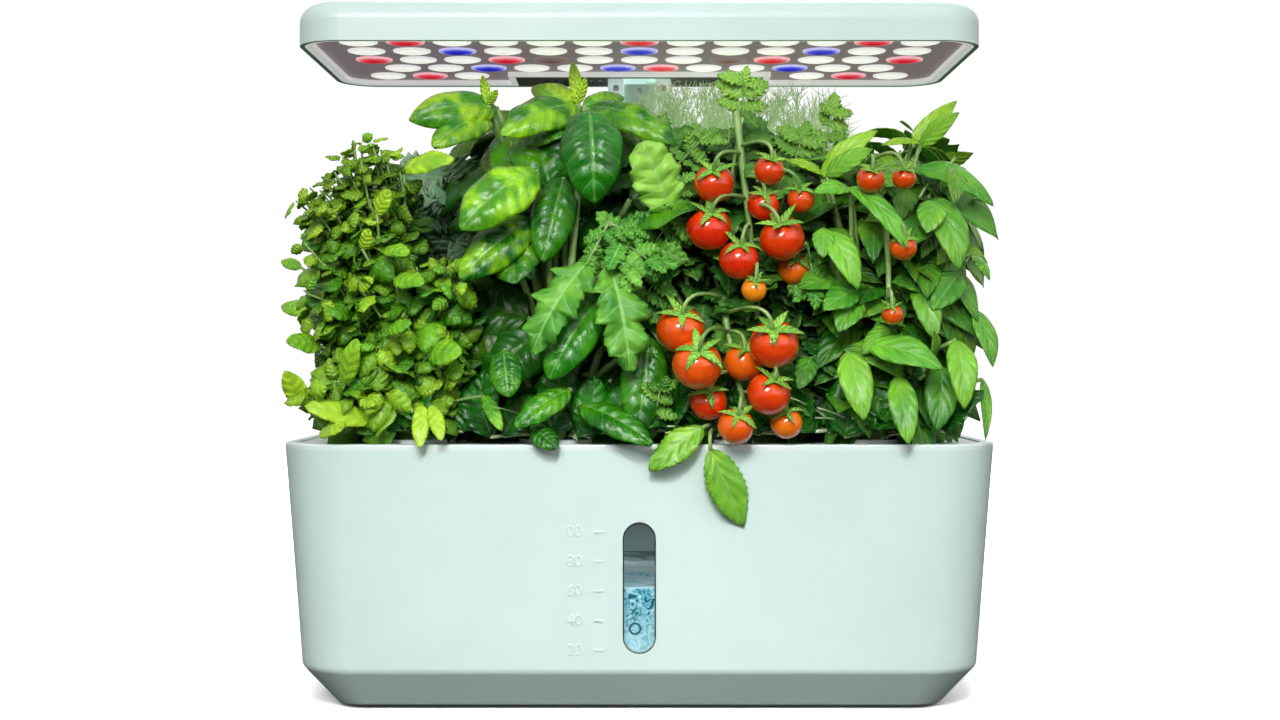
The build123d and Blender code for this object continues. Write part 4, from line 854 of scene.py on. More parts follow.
balm_age = np.clip((share - 0.66) * 2.2, 0, 1) * rng.uniform(0.0, 1.0, len(base)) ** 1.3
balm_age = np.clip(balm_age + 0.25 * (base[:, 2] > 0.19) * (share > 0.7), 0, 1)
balm_shade, balm_patch = rng.uniform(0, 1, len(base)), rng.uniform(0, 0.9, len(base)) ** 2
balm = leaves("balm_leaves", made, balm_age, balm_shade, balm_patch, balm_green, "light_leaf")
stems("balm_stems", "light_leaf", (balm_stems, 0.0011, 0.0004, 5))
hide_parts("balm_plant")

# Larger leaves stand out at the left edge and the foot. Columns: base, tip, half width, turn of
# the face, bend, then age, shade and patches.
large_balm = np.array((
    (-132.2, -62, 121.4, -138.4, -70, 135.3, 4.9, -0.2, 0.4, 0.5, 0.9, 1, 0.6),
    (-106, -68, 115.5, -129.5, -77, 121.8, 5.4, -0.1, 0.6, 0.5, 0.85, 1, 0.6),
    (-84.5, -74, 121.8, -84.4, -82, 105.8, 3.6, 0, 0.3, 0.5, 0.85, 1, 0.5),
    (-80.6, -74, 121.8, -75.9, -82, 108.6, 3.3, 0.1, 0.3, 0.5, 0.8, 1, 0.5),
    (-125.8, -62, 145, -137.5, -72, 146.9, 4.9, -0.2, 0.5, 0.6, 0.2, 0.8, 0.5),
    (-115.1, -70, 130.4, -109, -78, 147.8, 4.3, 0, 0.4, 0.6, 0.4, 0.9, 0.5),
    (-124.8, -70, 111, -113.4, -80, 113.8, 3.9, 0, 0.6, 0.5, 0.8, 1, 0.5),
    (-81.8, -72, 142.1, -68.2, -82, 142, 6, 0.1, 0.4, 0.6, 0, 0.4, 0.3),
    (-95.7, -70, 171.2, -82.8, -80, 168.9, 4.8, 0.1, 0.6, 0.6, 0, 0.5, 0.3),
    (-99.6, -70, 182.9, -88.5, -80, 180.3, 3.9, 0.1, 0.6, 0.6, 0.1, 0.6, 0.4),
    (-102.8, -68, 196.6, -97.3, -72, 206, 3.5, 0.1, 0.4, 0.4, 0.8, 1, 0.4),
    (-108.3, -70, 182.9, -104.8, -74, 190.4, 2.9, 0.1, 0.4, 0.4, 0.8, 1, 0.4),
    (-109.3, -70, 167.3, -103, -76, 171, 2.9, 0.1, 0.4, 0.4, 0.8, 1, 0.4),
    (-98, -74, 150.8, -87.3, -82, 153.5, 3.5, 0.1, 0.6, 0.5, 0, 0.9, 0.2),
    (-60.7, -70, 125.5, -53.1, -80, 112.4, 3.1, 0.1, 0.4, 0.6, 0, 0.7, 0.3),
    (-93.4, -58, 215.2, -72.8, -66, 218.3, 5.4, 0, 0.6, 0.8, 0.35, 0.8, 0.9),
    (-141, -24, 178, -150.5, -18, 181.0, 2.6, -0.4, 0.4, 0.5, 0.2, 0.8, 0.6),
    (-136, -26, 160, -150.5, -18, 161.8, 3.8, -0.4, 0.4, 0.5, 0.3, 0.9, 0.6),
))
placed_leaves(rng, "large_balm", large_balm, ovate(0.45, 0.65, 0.10), (25, 9), balm_green, "light_leaf", (0, 0), 12,
              (0.0010, 0.0006, 5), fold=0.2, cup=0.3, ruffle=0.08, waves=2.0)

# ---------------------------------------------------------------- kale
# Kale stands behind the balm: stout pale stalks, and dark blue-green blades whose margins are so
# much longer than the midrib that they curl into tight waves.
rng = np.random.default_rng(12)
kale_ends = shell_points(
    rng, (-0.128, -0.014, 0.150), (-0.062, 0.050, 0.211), ((1, 0, 40), (2, 1, 24), (1, 1, 16), (0, 0, 20)), 0.008
)
kale_ends[:, 2] = np.minimum(kale_ends[:, 2], np.interp(kale_ends[:, 0], (-0.122, -0.104), (0.190, 0.211)))
kale_stalks = arcs(pod_starts(rng, 0, 1, len(kale_ends)), kale_ends, 0.004, 12, 0.004, rng)
# Kale's curled edges are lightened: a painted highlight.
kale_green = leaf_finish("kale_leaf", (0.045, 0.19, 0.075), (0.22, 0.50, 0.24), (0.66, 0.84, 0.58),
                         (0.42, 0.60, 0.36), 0.5, pairs=6.0, vein_share=0.4, puff=0.0008, coat=0.1, painted_edge_highlight=0.45)
away = unit((kale_ends - np.array([-0.096, 0.022, 0.15])) * (1, 1, 0.4))
along = unit(0.45 * away + np.array([0, 0, 0.6]) + rng.normal(0, 0.45, kale_ends.shape))
face = unit(away + np.array([0, -0.35, 0.2]) + rng.normal(0, 0.3, kale_ends.shape))
length = rng.uniform(0.016, 0.024, len(kale_ends))
made = curled(rng, (kale_ends, along, squared(face, along), length, length * 0.50), ovate(0.55, 0.40, 0.05), (49, 9),
              (0.4, 1.4), fold=0.1, cup=0.1, ruffle=0.36, waves=8.0)
kale_looks = [rng.uniform(0, most, len(length)) for most in (0.25, 1, 0.4)]
kale = leaves("kale_leaves", made, *kale_looks, kale_green, "dark_leaf", least_painted_light=0.9)
stems("kale_stalks", "dark_leaf", (kale_stalks, 0.0022, 0.0013, 7))
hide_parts("kale_plant")

# ---------------------------------------------------------------- chard
# The chard has the largest blades of the garden: glossy, dark green and puffed up between pale
# ribs, each on its own stalk from the pod.
rng = np.random.default_rng(13)
chard_ends = shell_points(
    rng, (-0.052, -0.058, 0.120), (-0.002, -0.020, 0.214), ((1, 0, 30), (2, 1, 6), (0, 0, 3), (0, 1, 4)), 0.024
)
chard_stalks = arcs(pod_starts(rng, 1, 0, len(chard_ends)), chard_ends, 0.004, 12, 0.004, rng)
chard_green = leaf_finish("chard_leaf", (0.003, 0.085, 0.002), (0.028, 0.40, 0.005), (0.38, 0.80, 0.006),
                          (0.26, 0.56, 0.12), 0.27, pairs=6.5, vein_share=0.42, puff=0.0008, coat=0.5)
away = unit((chard_ends - np.array([-0.031, -0.030, 0.15])) * (1, 1, 0.5))
along = unit(0.7 * away + np.array([0, 0, 0.25]) + rng.normal(0, 0.45, chard_ends.shape))
face = unit(np.array([0, -0.85, 0.5]) + 0.35 * away + rng.normal(0, 0.2, chard_ends.shape))
along = squared(along, face, 0.75)
length = rng.uniform(0.032, 0.050, len(chard_ends))
made = curled(rng, (chard_ends, along, squared(face, along), length, length * 0.33), ovate(0.42, 0.62), (31, 17),
              (0.5, 1.5), fold=0.28, cup=0.45, ruffle=0.07, waves=2.5, quilt=0.10, pairs=6.5, slant=0.35)
chard_age, chard_shade = rng.uniform(0, 0.25, len(length)) ** 2, rng.uniform(0, 1, len(length))
chard = leaves("chard_leaves", made, chard_age, chard_shade, rng.uniform(0, 1, len(length)) ** 2, chard_green,
               "dark_leaf")
stems("chard_stalks", "dark_leaf", (chard_stalks, 0.0022, 0.0012, 7))
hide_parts("chard_plant")

large_chard = np.array((
    (-25, -40, 242.5, -54.7, -62, 228.6, 9.5, -0.15, 0.45, 1.1, 0.05, 0.5, 0.9),
    (-20.4, -40, 242.5, 13.7, -58, 225.6, 8, 0.25, 0.5, 1.1, 0, 0.4, 0.5),
    (-19.6, -66, 237.4, -17.4, -76, 200.3, 12.1, 0.05, 0.25, 1.5, 0, 0.15, 0),
    (-40.7, -66, 214.4, -69, -80, 189.9, 11.6, -0.1, 0.45, 0.9, 0.15, 0.7, 1),
    (-42.4, -62, 195.2, -69.6, -74, 171, 9.3, -0.1, 0.3, 0.8, 0, 0.2, 0.9),
    (-30.3, -58, 212.3, -38, -70, 178, 8.8, 0.1, 0.2, 0.7, 0, 0.25, 0.1),
    (-55.3, -60, 189.4, -42, -68, 171.3, 5.9, 0.2, 0.2, 0.6, 0, 0.3, 0.2),
    (-15.6, -70, 163.4, -35, -80, 132, 9.2, -0.1, 0.3, 1, 0, 0.55, 0.1),
    (3.8, -66, 148.9, -0.6, -76, 111.2, 9.2, 0.1, 0.1, 0.6, 0, 0.2, 0.1),
    (-27.2, -72, 128, -47.6, -82, 113.9, 6, -0.1, 0.6, 0.8, 0, 0.6, 0.3),
    (-22.9, -70, 122.1, 5.1, -84, 107.3, 7.2, 0.15, 0.8, 0.7, 0, 0.3, 0.1),
    (-6, -60, 141.1, -11.8, -70, 158.6, 6.9, -0.1, 0.4, 0.8, 0, 0.3, 0.1),
    (-52.7, -74, 143, -50.2, -82, 125.3, 6.5, 0, 0.3, 0.5, 0, 0.4, 0.3),
    (-41.6, -74, 113.1, -31.6, -82, 105.8, 4.8, 0, 0.6, 0.5, 0, 0.4, 0.2),
))
placed_leaves(rng, "large_chard", large_chard, ovate(0.45, 0.62), (37, 19), chard_green, "dark_leaf", (1, 0), 14,
              (0.0021, 0.0011, 7), fold=0.25, cup=0.5, ruffle=0.08, waves=2.5, quilt=0.09, pairs=6.5, slant=0.35)

# ---------------------------------------------------------------- basil
# Basil stands behind the chard and reaches the lamp: pairs of cupped, puffed blades on pale stems,
# with small yellow-green ones at the tips.
rng = np.random.default_rng(14)
basil_ends = shell_points(
    rng, (-0.074, -0.022, 0.190), (-0.004, 0.030, 0.252), ((1, 0, 8), (2, 1, 10), (1, 1, 9)), 0.010
)
basil_ends[:, 2] = np.maximum(basil_ends[:, 2], np.interp(basil_ends[:, 0], (-0.072, -0.045), (0.244, 0.190)))
basil_stems = arcs(pod_starts(rng, 1, 1, len(basil_ends)), basil_ends, 0.008, 14, 0.004, rng)
basil_green = leaf_finish("basil_leaf", (0.010, 0.16, 0.005), (0.055, 0.47, 0.012), (0.56, 0.88, 0.02),
                          (0.30, 0.62, 0.12), 0.28, pairs=6.0, vein_share=0.42, puff=0.0008, coat=0.5)
basil_size = (0.5, 0.8, 0.93, 1.0), (0.034, 0.036, 0.026, 0.013)
basil = leafy_plant(
    rng, "basil", basil_stems, basil_green, "dark_leaf",
    ((0.60, 0.72, 0.82, 0.91, 0.98), 0.004, basil_size, 0.33, (-0.1, -0.55, 0.75), 0.25, 0.15),
    ovate(0.42, 0.7), (17, 9), (0.5, 1.4), (0.86, 6, 0.3, 1), 1, (0.0019, 0.0008), least_painted_light=0.25,
    fold=0.2, cup=0.55, ruffle=0.05, waves=2.0, quilt=0.08, pairs=6.0, slant=0.35,
)
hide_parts("basil_plant")

crown_basil = np.array((
    (-62.1, -38, 243.8, -64.2, -38, 255.8, 2, -0.1, 0.2, -0.3, 0.9, 1, 0.5),
    (-62.1, -38, 243.8, -57.8, -42, 249.3, 1.8, 0.2, 0.3, 0.4, 0.8, 1, 0.5),
    (-25, -38, 244.3, -27.5, -34, 262, 2.7, -0.1, 0.2, -0.3, 1, 1, 0.5),
    (-25, -38, 244.3, -21.9, -40, 254.7, 2, 0.3, 0.3, 0.3, 0.9, 1, 0.5),
    (-58.9, -34, 243.4, -92.9, -48, 236.4, 9.2, -0.1, 0.4, 1.1, 0.05, 0.5, 0.8),
    (-61.5, -34, 238.8, -82.4, -56, 224.4, 8, -0.2, 0.4, 1, 0, 0.5, 0.6),
    (-26.7, -34, 245.4, -44.9, -20, 253.7, 6.2, -0.2, 0.9, 0.8, 0.35, 0.9, 1),
    (-22.5, -38, 243.8, -6.3, -24, 249, 4.6, 0.2, 0.9, 0.9, 0.1, 0.7, 0.4),
    (-52, -38, 228.6, -29.8, -56, 229.3, 6, 0.1, 0.5, 0.9, 0, 0.3, 0.3),
))
placed_leaves(rng, "crown_basil", crown_basil, ovate(0.45, 0.65), (33, 17), basil_green, "dark_leaf", (1, 1), 14,
              (0.0021, 0.0011, 7), fold=0.2, cup=0.5, ruffle=0.05, waves=2.0, quilt=0.10, pairs=6.5, slant=0.35)

# ---------------------------------------------------------------- dill
# Dill stands behind the tomato: fine hollow stems, and fronds that branch twice into soft threads.
rng = np.random.default_rng(15)
dill_ends = shell_points(
    rng, (0.000, -0.008, 0.165), (0.088, 0.044, 0.248), ((1, 0, 5), (2, 1, 15), (1, 1, 8), (0, 1, 4)), 0.014
)
dill_stems = arcs(pod_starts(rng, 2, 1, len(dill_ends)), dill_ends, 0.006, 12, 0.004, rng)
# The threads glow a little in their own pale green: painted light, as they stand in the lamp's shadow.
dill_green_painted_glow = moulded("dill_thread_painted_glow", (0.38, 0.64, 0.24), (0.72, 0.91, 0.55), 0.5, fine=1500.0, slow=60.0,
                     Emission_Color=(0.62, 0.84, 0.48, 1), Emission_Strength=0.18)


def branches(rng, paths, places, lengths, open_angle, spread, lift, rings):
    """Side branches off many paths: at each share of a path one branch leaves each side.

    A branch starts at its parent, at open_angle from the parent's direction and turned about it by
    a random angle within spread, and rises by lift along its own length. Returns (n, rings, 3).
    """
    spot, ahead, first, second = spots_on(paths, places, (0.25, 0.3, 0.9))
    around = rng.uniform(0, 2 * pi, (len(paths), 1)) + rng.normal(0, spread, (len(paths), len(places)))
    t = np.linspace(0, 1, rings)[:, None]
    out = []
    for half_turn in (0.0, pi):
        angle = (around + half_turn)[..., None]
        outward = np.cos(angle) * first + np.sin(angle) * second
        way = unit(np.cos(open_angle) * ahead + np.sin(open_angle) * outward + rng.normal(0, 0.1, outward.shape))
        size = np.asarray(lengths)[None, :, None, None] * rng.uniform(0.75, 1.2, (len(paths), len(places), 1, 1))
        curve = way[:, :, None, :] * t * size + (ahead[:, :, None, :] + np.array([0, 0, lift])) * t**2 * size * 0.3
        out.append((spot[:, :, None, :] + curve).reshape(-1, rings, 3))
    return np.concatenate(out)


fronds = branches(rng, dill_stems, (0.62, 0.76, 0.88, 0.97), (0.026, 0.026, 0.022, 0.016), 0.8, 0.8, 0.2, 7)
sprigs = branches(rng, fronds, (0.25, 0.42, 0.58, 0.74, 0.9), (0.011, 0.011, 0.010, 0.008, 0.006), 0.85, 0.5, 0.1, 4)
threads = branches(rng, sprigs, (0.55,), (0.0055,), 0.7, 0.9, 0.0, 3)
low_corner, high_corner = (-0.006, -0.040, 0.1), (0.100, 0.070, 0.262)
dill_bundles = (
    (dill_stems, 0.0011, 0.0005, 6), (fronds, 0.0005, 0.0003, 4), (sprigs, 0.00030, 0.0002, 3),
    (threads, 0.00024, 0.00012, 3),
)
dill_bundles = [(clear_of_mast(np.clip(paths, low_corner, high_corner)), *form) for paths, *form in dill_bundles]
dill = stems("dill_fronds", "light_leaf", *dill_bundles, finish=dill_green_painted_glow)
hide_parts("dill_plant")

# ---------------------------------------------------------------- tomato
# The tomato stands in the middle of the front: hairy stems and compound leaves of jagged leaflets,
# drooping between the trusses.
rng = np.random.default_rng(16)
tomato_ends = shell_points(
    rng, (-0.004, -0.054, 0.118), (0.070, -0.014, 0.236),
    ((1, 0, 22), (2, 1, 6), (0, 0, 5), (0, 1, 6), (1, 1, 6)), 0.016,
)
tomato_ribs = arcs(pod_starts(rng, 2, 0, len(tomato_ends)), tomato_ends, 0.010, 14, 0.006, rng)
tomato_green = leaf_finish("tomato_leaf", (0.016, 0.16, 0.010), (0.10, 0.44, 0.032), (0.38, 0.76, 0.09),
                           (0.36, 0.66, 0.22), 0.45, pairs=5.0, vein_share=0.6, puff=0.0007, coat=0.1)
tomato_size = (0.5, 0.85, 1.0), (0.024, 0.026, 0.018)
*stance, share = shoots(
    rng, tomato_ribs, (0.55, 0.66, 0.77, 0.87, 0.95), 0.004, tomato_size, 0.30, (0, -0.9, 0.4), 0.5, 0.35
)
made = curled(rng, stance, ovate(0.40, 0.9, 0.30), (15, 5), (0.2, 1.2), fold=0.25, cup=0.2, ruffle=0.10, waves=2.0,
              quilt=0.06, pairs=5.0)
tomato_age, tomato_shade = rng.uniform(0, 0.5, len(share)) ** 2, rng.uniform(0, 1, len(share))
tomato = leaves("tomato_leaves", made, tomato_age, tomato_shade, rng.uniform(0, 0.8, len(share)) ** 2, tomato_green,
                "tomato_leaf")
stems("tomato_stems", "tomato_leaf", (tomato_ribs, 0.0016, 0.0006, 6))
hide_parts("tomato_plant")

# Two leaves are broad with toothed lobes, and a third above them is round-lobed and yellow-green.
broad_rows = np.array((
    (12.1, -70, 196.9, 1, -78, 223.8, 10.5, 0, 0.4, 0.4, 0.75, 1, 0.6),
    (-19.4, -76, 177.8, -41, -84, 142, 11.5, -0.25, 0.5, 0.9, 0.05, 0.7, 0.4),
    (-11.6, -74, 176, -3.8, -82, 135.4, 12.5, 0.2, 0.4, 1.0, 0.0, 0.5, 0.3),
))
for name, chosen, outline in (
    ("lobed_leaf", broad_rows[:1], serrate(0.5, 0.45, 5.5, 0.14)),
    ("broad_tomato_leaves", broad_rows[1:], serrate(0.45, 0.55, 3.5, 0.34, 0.10)),
):
    made, _ = placed_blades(chosen, outline, (64, 15), fold=0.3, cup=0.35, ruffle=0.16, waves=3.5, quilt=0.10,
                            pairs=5.0)
    leaves(name, made, *chosen[:, 10:].T, tomato_green, "tomato_leaf", least_painted_light=0.85)

# Each of these leaves is a rib that carries three pairs of jagged leaflets and one at its tip.
compound_rows = np.array((
    (-11.7, -74, 193.3, -23.1, -80, 171.7, 5.3, -0.1, 0.4, 0.6, 0.1, 0.9, 0.4),
    (-11.7, -74, 192.3, 3.7, -78, 188.1, 4.8, 0.1, 0.6, 0.7, 0.1, 0.9, 0.3),
    (-10.7, -74, 188.4, 11.4, -80, 172.7, 6.7, 0.1, 0.5, 0.8, 0, 0.8, 0.3),
    (-11.7, -74, 184.6, -0.1, -82, 168.8, 5.8, 0, 0.4, 0.8, 0.05, 0.9, 0.4),
    (13.5, -70, 196.5, 18.3, -74, 216.4, 3.9, 0.2, 0.4, 0.4, 0.2, 0.7, 0.5),
    (5.7, -72, 116.9, 9.5, -80, 134.4, 4.3, 0.1, 0.4, 0.5, 0.1, 0.7, 0.4),
    (41, -60, 236, 41, -64, 256, 6.5, 0, 0.4, 0.3, 0.9, 1, 0.4),
    (76, -40, 226, 79, -44, 247, 5.5, 0, 0.4, 0.3, 0.8, 1, 0.3),
    (2, -66, 180, 20, -72, 205, 8, 0.1, 0.4, 0.5, 0.1, 0.8, 0.3),
    (8, -64, 172, -14, -74, 196, 7.5, -0.1, 0.4, 0.5, 0.05, 0.9, 0.3),
    (14, -58, 216, 30, -62, 232, 7, 0.1, 0.5, 0.4, 0.45, 0.9, 0.3),
    (60, -58, 212, 66, -64, 234, 7, 0.1, 0.5, 0.4, 0.5, 0.9, 0.3),
    (66, -64, 186, 70, -74, 160, 7, 0.1, 0.5, 0.6, 0, 0.8, 0.3),
    (-2, -60, 158, 10, -70, 176, 7, 0.1, 0.5, 0.5, 0, 0.7, 0.2),
))
rib_base, rib_tip, rib_half = compound_rows[:, :3] / 1000, compound_rows[:, 3:6] / 1000, compound_rows[:, 6] / 1000
rib_face = unit(np.column_stack((compound_rows[:, 7], -np.ones(len(compound_rows)), compound_rows[:, 8])))
rib_run = rib_tip - rib_base
rib_way = unit(rib_run)
rib_side = unit(np.cross(rib_way, rib_face))
base, along, length = [rib_base + 0.62 * rib_run], [rib_way], [np.linalg.norm(rib_run, axis=1) * 0.48]
for place in (0.18, 0.42, 0.64):
    for side in (-1, 1):
        base.append(rib_base + place * rib_run)
        along.append(unit(0.75 * rib_way + side * rib_side - np.array([0, 0, 0.3])))
        length.append(rib_half * (1.9 - 0.5 * place))
leaflets = len(base)
base, along, length = np.concatenate(base), np.concatenate(along), np.concatenate(length)
length = length * rng.uniform(0.75, 1.25, len(length))
along = unit(along + rng.normal(0, 0.30, along.shape))
face = squared(unit(np.tile(rib_face, (leaflets, 1)) + rng.normal(0, 0.22, along.shape)), along)
made = curled(rng, (base, along, face, length, length * 0.36), serrate(0.40, 0.75, 5.5, 0.38), (34, 9), (0.1, 1.3),
              fold=0.2, cup=0.2, ruffle=0.16, waves=3.0, quilt=0.06, pairs=5.0)
tints = np.tile(compound_rows[:, 10:], (leaflets, 1)) + rng.normal(0, 0.12, (len(base), 3))
leaves("compound_tomato_leaves", made, *np.clip(tints, 0, 1).T, tomato_green, "tomato_leaf", least_painted_light=0.6)
ribs = rib_base[:, None] + rib_run[:, None] * np.linspace(0, 0.8, 8)[None, :, None]
stems("compound_tomato_ribs", "tomato_leaf", (ribs, 0.0006, 0.0003, 5))
base = np.vstack((broad_rows[:, :3] / 1000, rib_base))
paths = arcs(pod_starts(rng, 2, 0, len(base), 0.006), base, 0.006, 14)
stems("compound_tomato_stalks", "tomato_leaf", (paths, 0.0014, 0.0006, 6))

# ---------------------------------------------------------------- pepper
# The pepper fills the front right pod with smooth pointed leaves on forking green stems.
rng = np.random.default_rng(17)
pepper_ends = shell_points(
    rng, (0.066, -0.058, 0.120), (0.132, -0.018, 0.226), ((1, 0, 22), (0, 1, 10), (2, 1, 7), (1, 1, 6)), 0.020
)
pepper_stems = arcs(pod_starts(rng, 3, 0, len(pepper_ends)), pepper_ends, 0.008, 14, 0.005, rng)
pepper_green = leaf_finish("pepper_leaf", (0.024, 0.23, 0.010), (0.17, 0.60, 0.04), (0.50, 0.88, 0.05),
                           (0.34, 0.62, 0.18), 0.32, pairs=5.0, slant=0.7, vein_share=0.45, puff=0.0006, coat=0.35)
pair_places = (0.50, 0.64, 0.77, 0.88, 0.97)
pepper_size = (0.5, 0.8, 1.0), (0.026, 0.030, 0.018)
pepper = leafy_plant(
    rng, "pepper", pepper_stems, pepper_green, "tomato_leaf",
    (pair_places, 0.004, pepper_size, 0.24, (0.12, -0.8, 0.45), 0.35, 0.45),
    ovate(0.38, 1.1), (13, 7), (0.2, 1.3), (0.85, 4, 0, 0.8), 0.8, (0.0016, 0.0006),
    fold=0.3, cup=0.2, ruffle=0.05, waves=1.5,
)
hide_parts("pepper_plant")

large_pepper = np.array((
    (72.1, -58, 212.5, 94.2, -62, 230.2, 4.7, 0, 0.7, 0.9, 0.75, 1, 0.4),
    (73.3, -58, 213, 57.7, -66, 218, 2.9, -0.2, 0.8, 0.7, 0.7, 1, 0.4),
    (74.1, -62, 212.1, 90.9, -72, 221.7, 4.7, 0.1, 0.6, 0.6, 0.1, 0.8, 0.3),
    (111.3, -40, 229.5, 128.8, -44, 244.6, 4, 0.1, 0.5, -0.4, 0.8, 1, 0.4),
    (114.5, -42, 226.7, 127.9, -54, 238.5, 4, 0.2, 0.5, 0.5, 0.45, 1, 0.4),
    (114, -42, 227.7, 96.8, -54, 225.3, 2.4, -0.2, 0.8, 0.6, 0.8, 1, 0.4),
    (110.3, -50, 216.3, 139.7, -62, 200.4, 6.1, 0.2, 0.8, 1.3, 0, 0.6, 0.1),
    (82.5, -70, 206.4, 67, -80, 203.6, 4.3, -0.1, 0.8, 0.8, 0, 0.8, 0.1),
    (82, -74, 206.5, 103, -84, 180.5, 5, 0.3, 0.6, 1.2, 0, 0.7, 0.1),
    (118, -60, 203.5, 124.6, -72, 174.4, 7.3, 0.2, 0.4, 0.9, 0.1, 0.6, 0.3),
    (116.3, -64, 202.1, 111.8, -74, 188.8, 5.8, -0.1, 0.5, 0.8, 0.1, 0.8, 0.3),
    (73.5, -72, 189.9, 83.9, -82, 166.8, 5.9, 0.1, 0.5, 1, 0.2, 0.8, 0.3),
    (71.6, -72, 190.8, 70.8, -80, 178.8, 4.3, -0.1, 0.5, 0.8, 0.05, 0.9, 0.2),
    (84.4, -70, 166.8, 70.8, -80, 158.8, 5.8, -0.1, 0.5, 0.7, 0, 0.2, 0.1),
    (85.6, -68, 164, 76.7, -78, 150.3, 5.8, -0.1, 0.4, 0.7, 0, 0.2, 0.1),
    (89, -72, 145.5, 116.3, -84, 136, 7.2, 0.1, 0.7, 0.9, 0.05, 0.8, 0.2),
    (124.8, -66, 147.5, 125.5, -78, 120.6, 6, 0.1, 0.4, 0.9, 0.25, 0.9, 0.4),
    (81, -74, 142.6, 85.7, -86, 116.6, 6.5, 0, 0.4, 0.8, 0.3, 0.9, 0.4),
    (100.5, -72, 133, 103, -84, 107.1, 5.7, 0, 0.4, 0.7, 0.05, 0.6, 0.3),
    (119.3, -64, 136.8, 115.6, -74, 111.9, 6.8, 0.1, 0.2, 0.6, 0, 0.15, 0.1),
    (133.5, -56, 159.4, 138.9, -66, 136.8, 4.7, 0.4, 0.4, 0.8, 0.1, 0.6, 0.3),
    (136.5, -58, 131.8, 134.8, -72, 108.4, 2.5, 0.3, 0.3, 0.6, 0.1, 0.6, 0.3),
    (127.2, -58, 174.1, 114.4, -70, 159.1, 6.3, 0, 0.3, 0.6, 0, 0.2, 0.1),
    (110.2, -60, 171.1, 115, -72, 147.4, 5.8, 0.1, 0.4, 0.8, 0.05, 0.4, 0.2),
    (134.6, -50, 204.4, 140.5, -58, 201.7, 2.6, 0.3, 0.7, 0.8, 0, 0.2, 0.1),
    (133.6, -50, 181.5, 138.8, -60, 171.1, 2.4, 0.3, 0.6, 0.8, 0, 0.5, 0.2),
    (97.5, -66, 152.4, 86.5, -76, 141.7, 3.9, 0, 0.5, 0.6, 0.05, 0.6, 0.2),
    (67.8, -62, 140.7, 62.2, -70, 128.1, 4.4, 0, 0.3, 0.6, 0, 0.3, 0.1),
))
placed_leaves(rng, "large_pepper", large_pepper, ovate(0.42, 0.85), (27, 11), pepper_green, "tomato_leaf", (3, 0), 14,
              (0.0017, 0.0008, 6), fold=0.28, cup=0.25, ruffle=0.06, waves=1.5, quilt=0.05, pairs=5.0, slant=0.7)

# ---------------------------------------------------------------- Thai basil
# Thai basil stands at the back right: narrower pointed leaves, with bright new pairs on top.
rng = np.random.default_rng(18)
thai_ends = shell_points(
    rng, (0.070, -0.008, 0.150), (0.138, 0.048, 0.236), ((1, 1, 16), (0, 1, 9), (2, 1, 9), (1, 0, 6)), 0.012
)
thai_stems = arcs(pod_starts(rng, 3, 1, len(thai_ends)), thai_ends, 0.008, 14, 0.005, rng)
thai_green = leaf_finish("thai_basil_leaf", (0.024, 0.21, 0.010), (0.14, 0.52, 0.03), (0.52, 0.86, 0.05),
                         (0.32, 0.58, 0.14), 0.36, pairs=5.5, slant=0.6, vein_share=0.4, puff=0.0006, coat=0.2)
thai_size = (0.5, 0.8, 1.0), (0.024, 0.028, 0.018)
thai = leafy_plant(
    rng, "thai_basil", thai_stems, thai_green, "tomato_leaf",
    (pair_places, 0.003, thai_size, 0.25, (0.25, 0.45, 0.7), 0.4, 0.2),
    ovate(0.40, 1.0, 0.08), (13, 7), (0.2, 1.1), (0.85, 5, 0.2, 1), 0.8, (0.0015, 0.0006), least_painted_light=0.4,
    fold=0.3, cup=0.25, ruffle=0.05, waves=1.5,
)
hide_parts("thai_basil_plant")

# ---------------------------------------------------------------- low growth
# Older leaves, kept to the darker half of their tone as painted shade, fill the space round the pods
# under the crowns, and thin pale shoots come up between them near the front rim.
rng = np.random.default_rng(21)


def near_pods(rng, start, x_reach, y_reach, heights):
    """Points above starts, each moved aside within its reach, at a height between the two."""
    low, high = zip(x_reach, y_reach, heights)
    return start * (1, 1, 0) + np.column_stack([rng.uniform(*ends, len(start)) for ends in zip(low, high)])


low_start = np.concatenate([pod_starts(rng, column, row, 12) for column in range(4) for row in range(2)])
low_end = near_pods(rng, low_start, (-0.031, 0.031), (-0.020, 0.026), (0.112, 0.136))
low_end[:, :2] = np.clip(low_end[:, :2], (-0.116, -0.062), (0.116, 0.040))
front_start = np.concatenate([pod_starts(rng, column, 0, 11) for column in range(4)])
front_end = np.column_stack((
    np.linspace(-0.120, 0.120, len(front_start)), rng.uniform(-0.066, -0.058, len(front_start)),
    rng.uniform(0.1085, 0.114, len(front_start)),
))
low_start, low_end = np.vstack((low_start, front_start)), np.vstack((low_end, front_end))
along = unit((low_end - low_start) * (1, 1, 0.3) + rng.normal(0, 0.008, low_end.shape))
along[-len(front_end):] = unit(rng.normal(0, 0.5, front_end.shape) * (1, 0.3, 0) + np.array([0, -0.1, 1.0]))
face = squared(unit(np.array([0, -0.6, 0.7]) + rng.normal(0, 0.3, low_end.shape)), along)
length = rng.uniform(0.018, 0.028, len(low_end))
made = curled(rng, (low_end, along, face, length, length * 0.34), ovate(0.45, 0.75), (13, 7), (0.2, 1.2),
              fold=0.2, cup=0.3, ruffle=0.08, waves=2.0)
none = np.zeros(len(length))
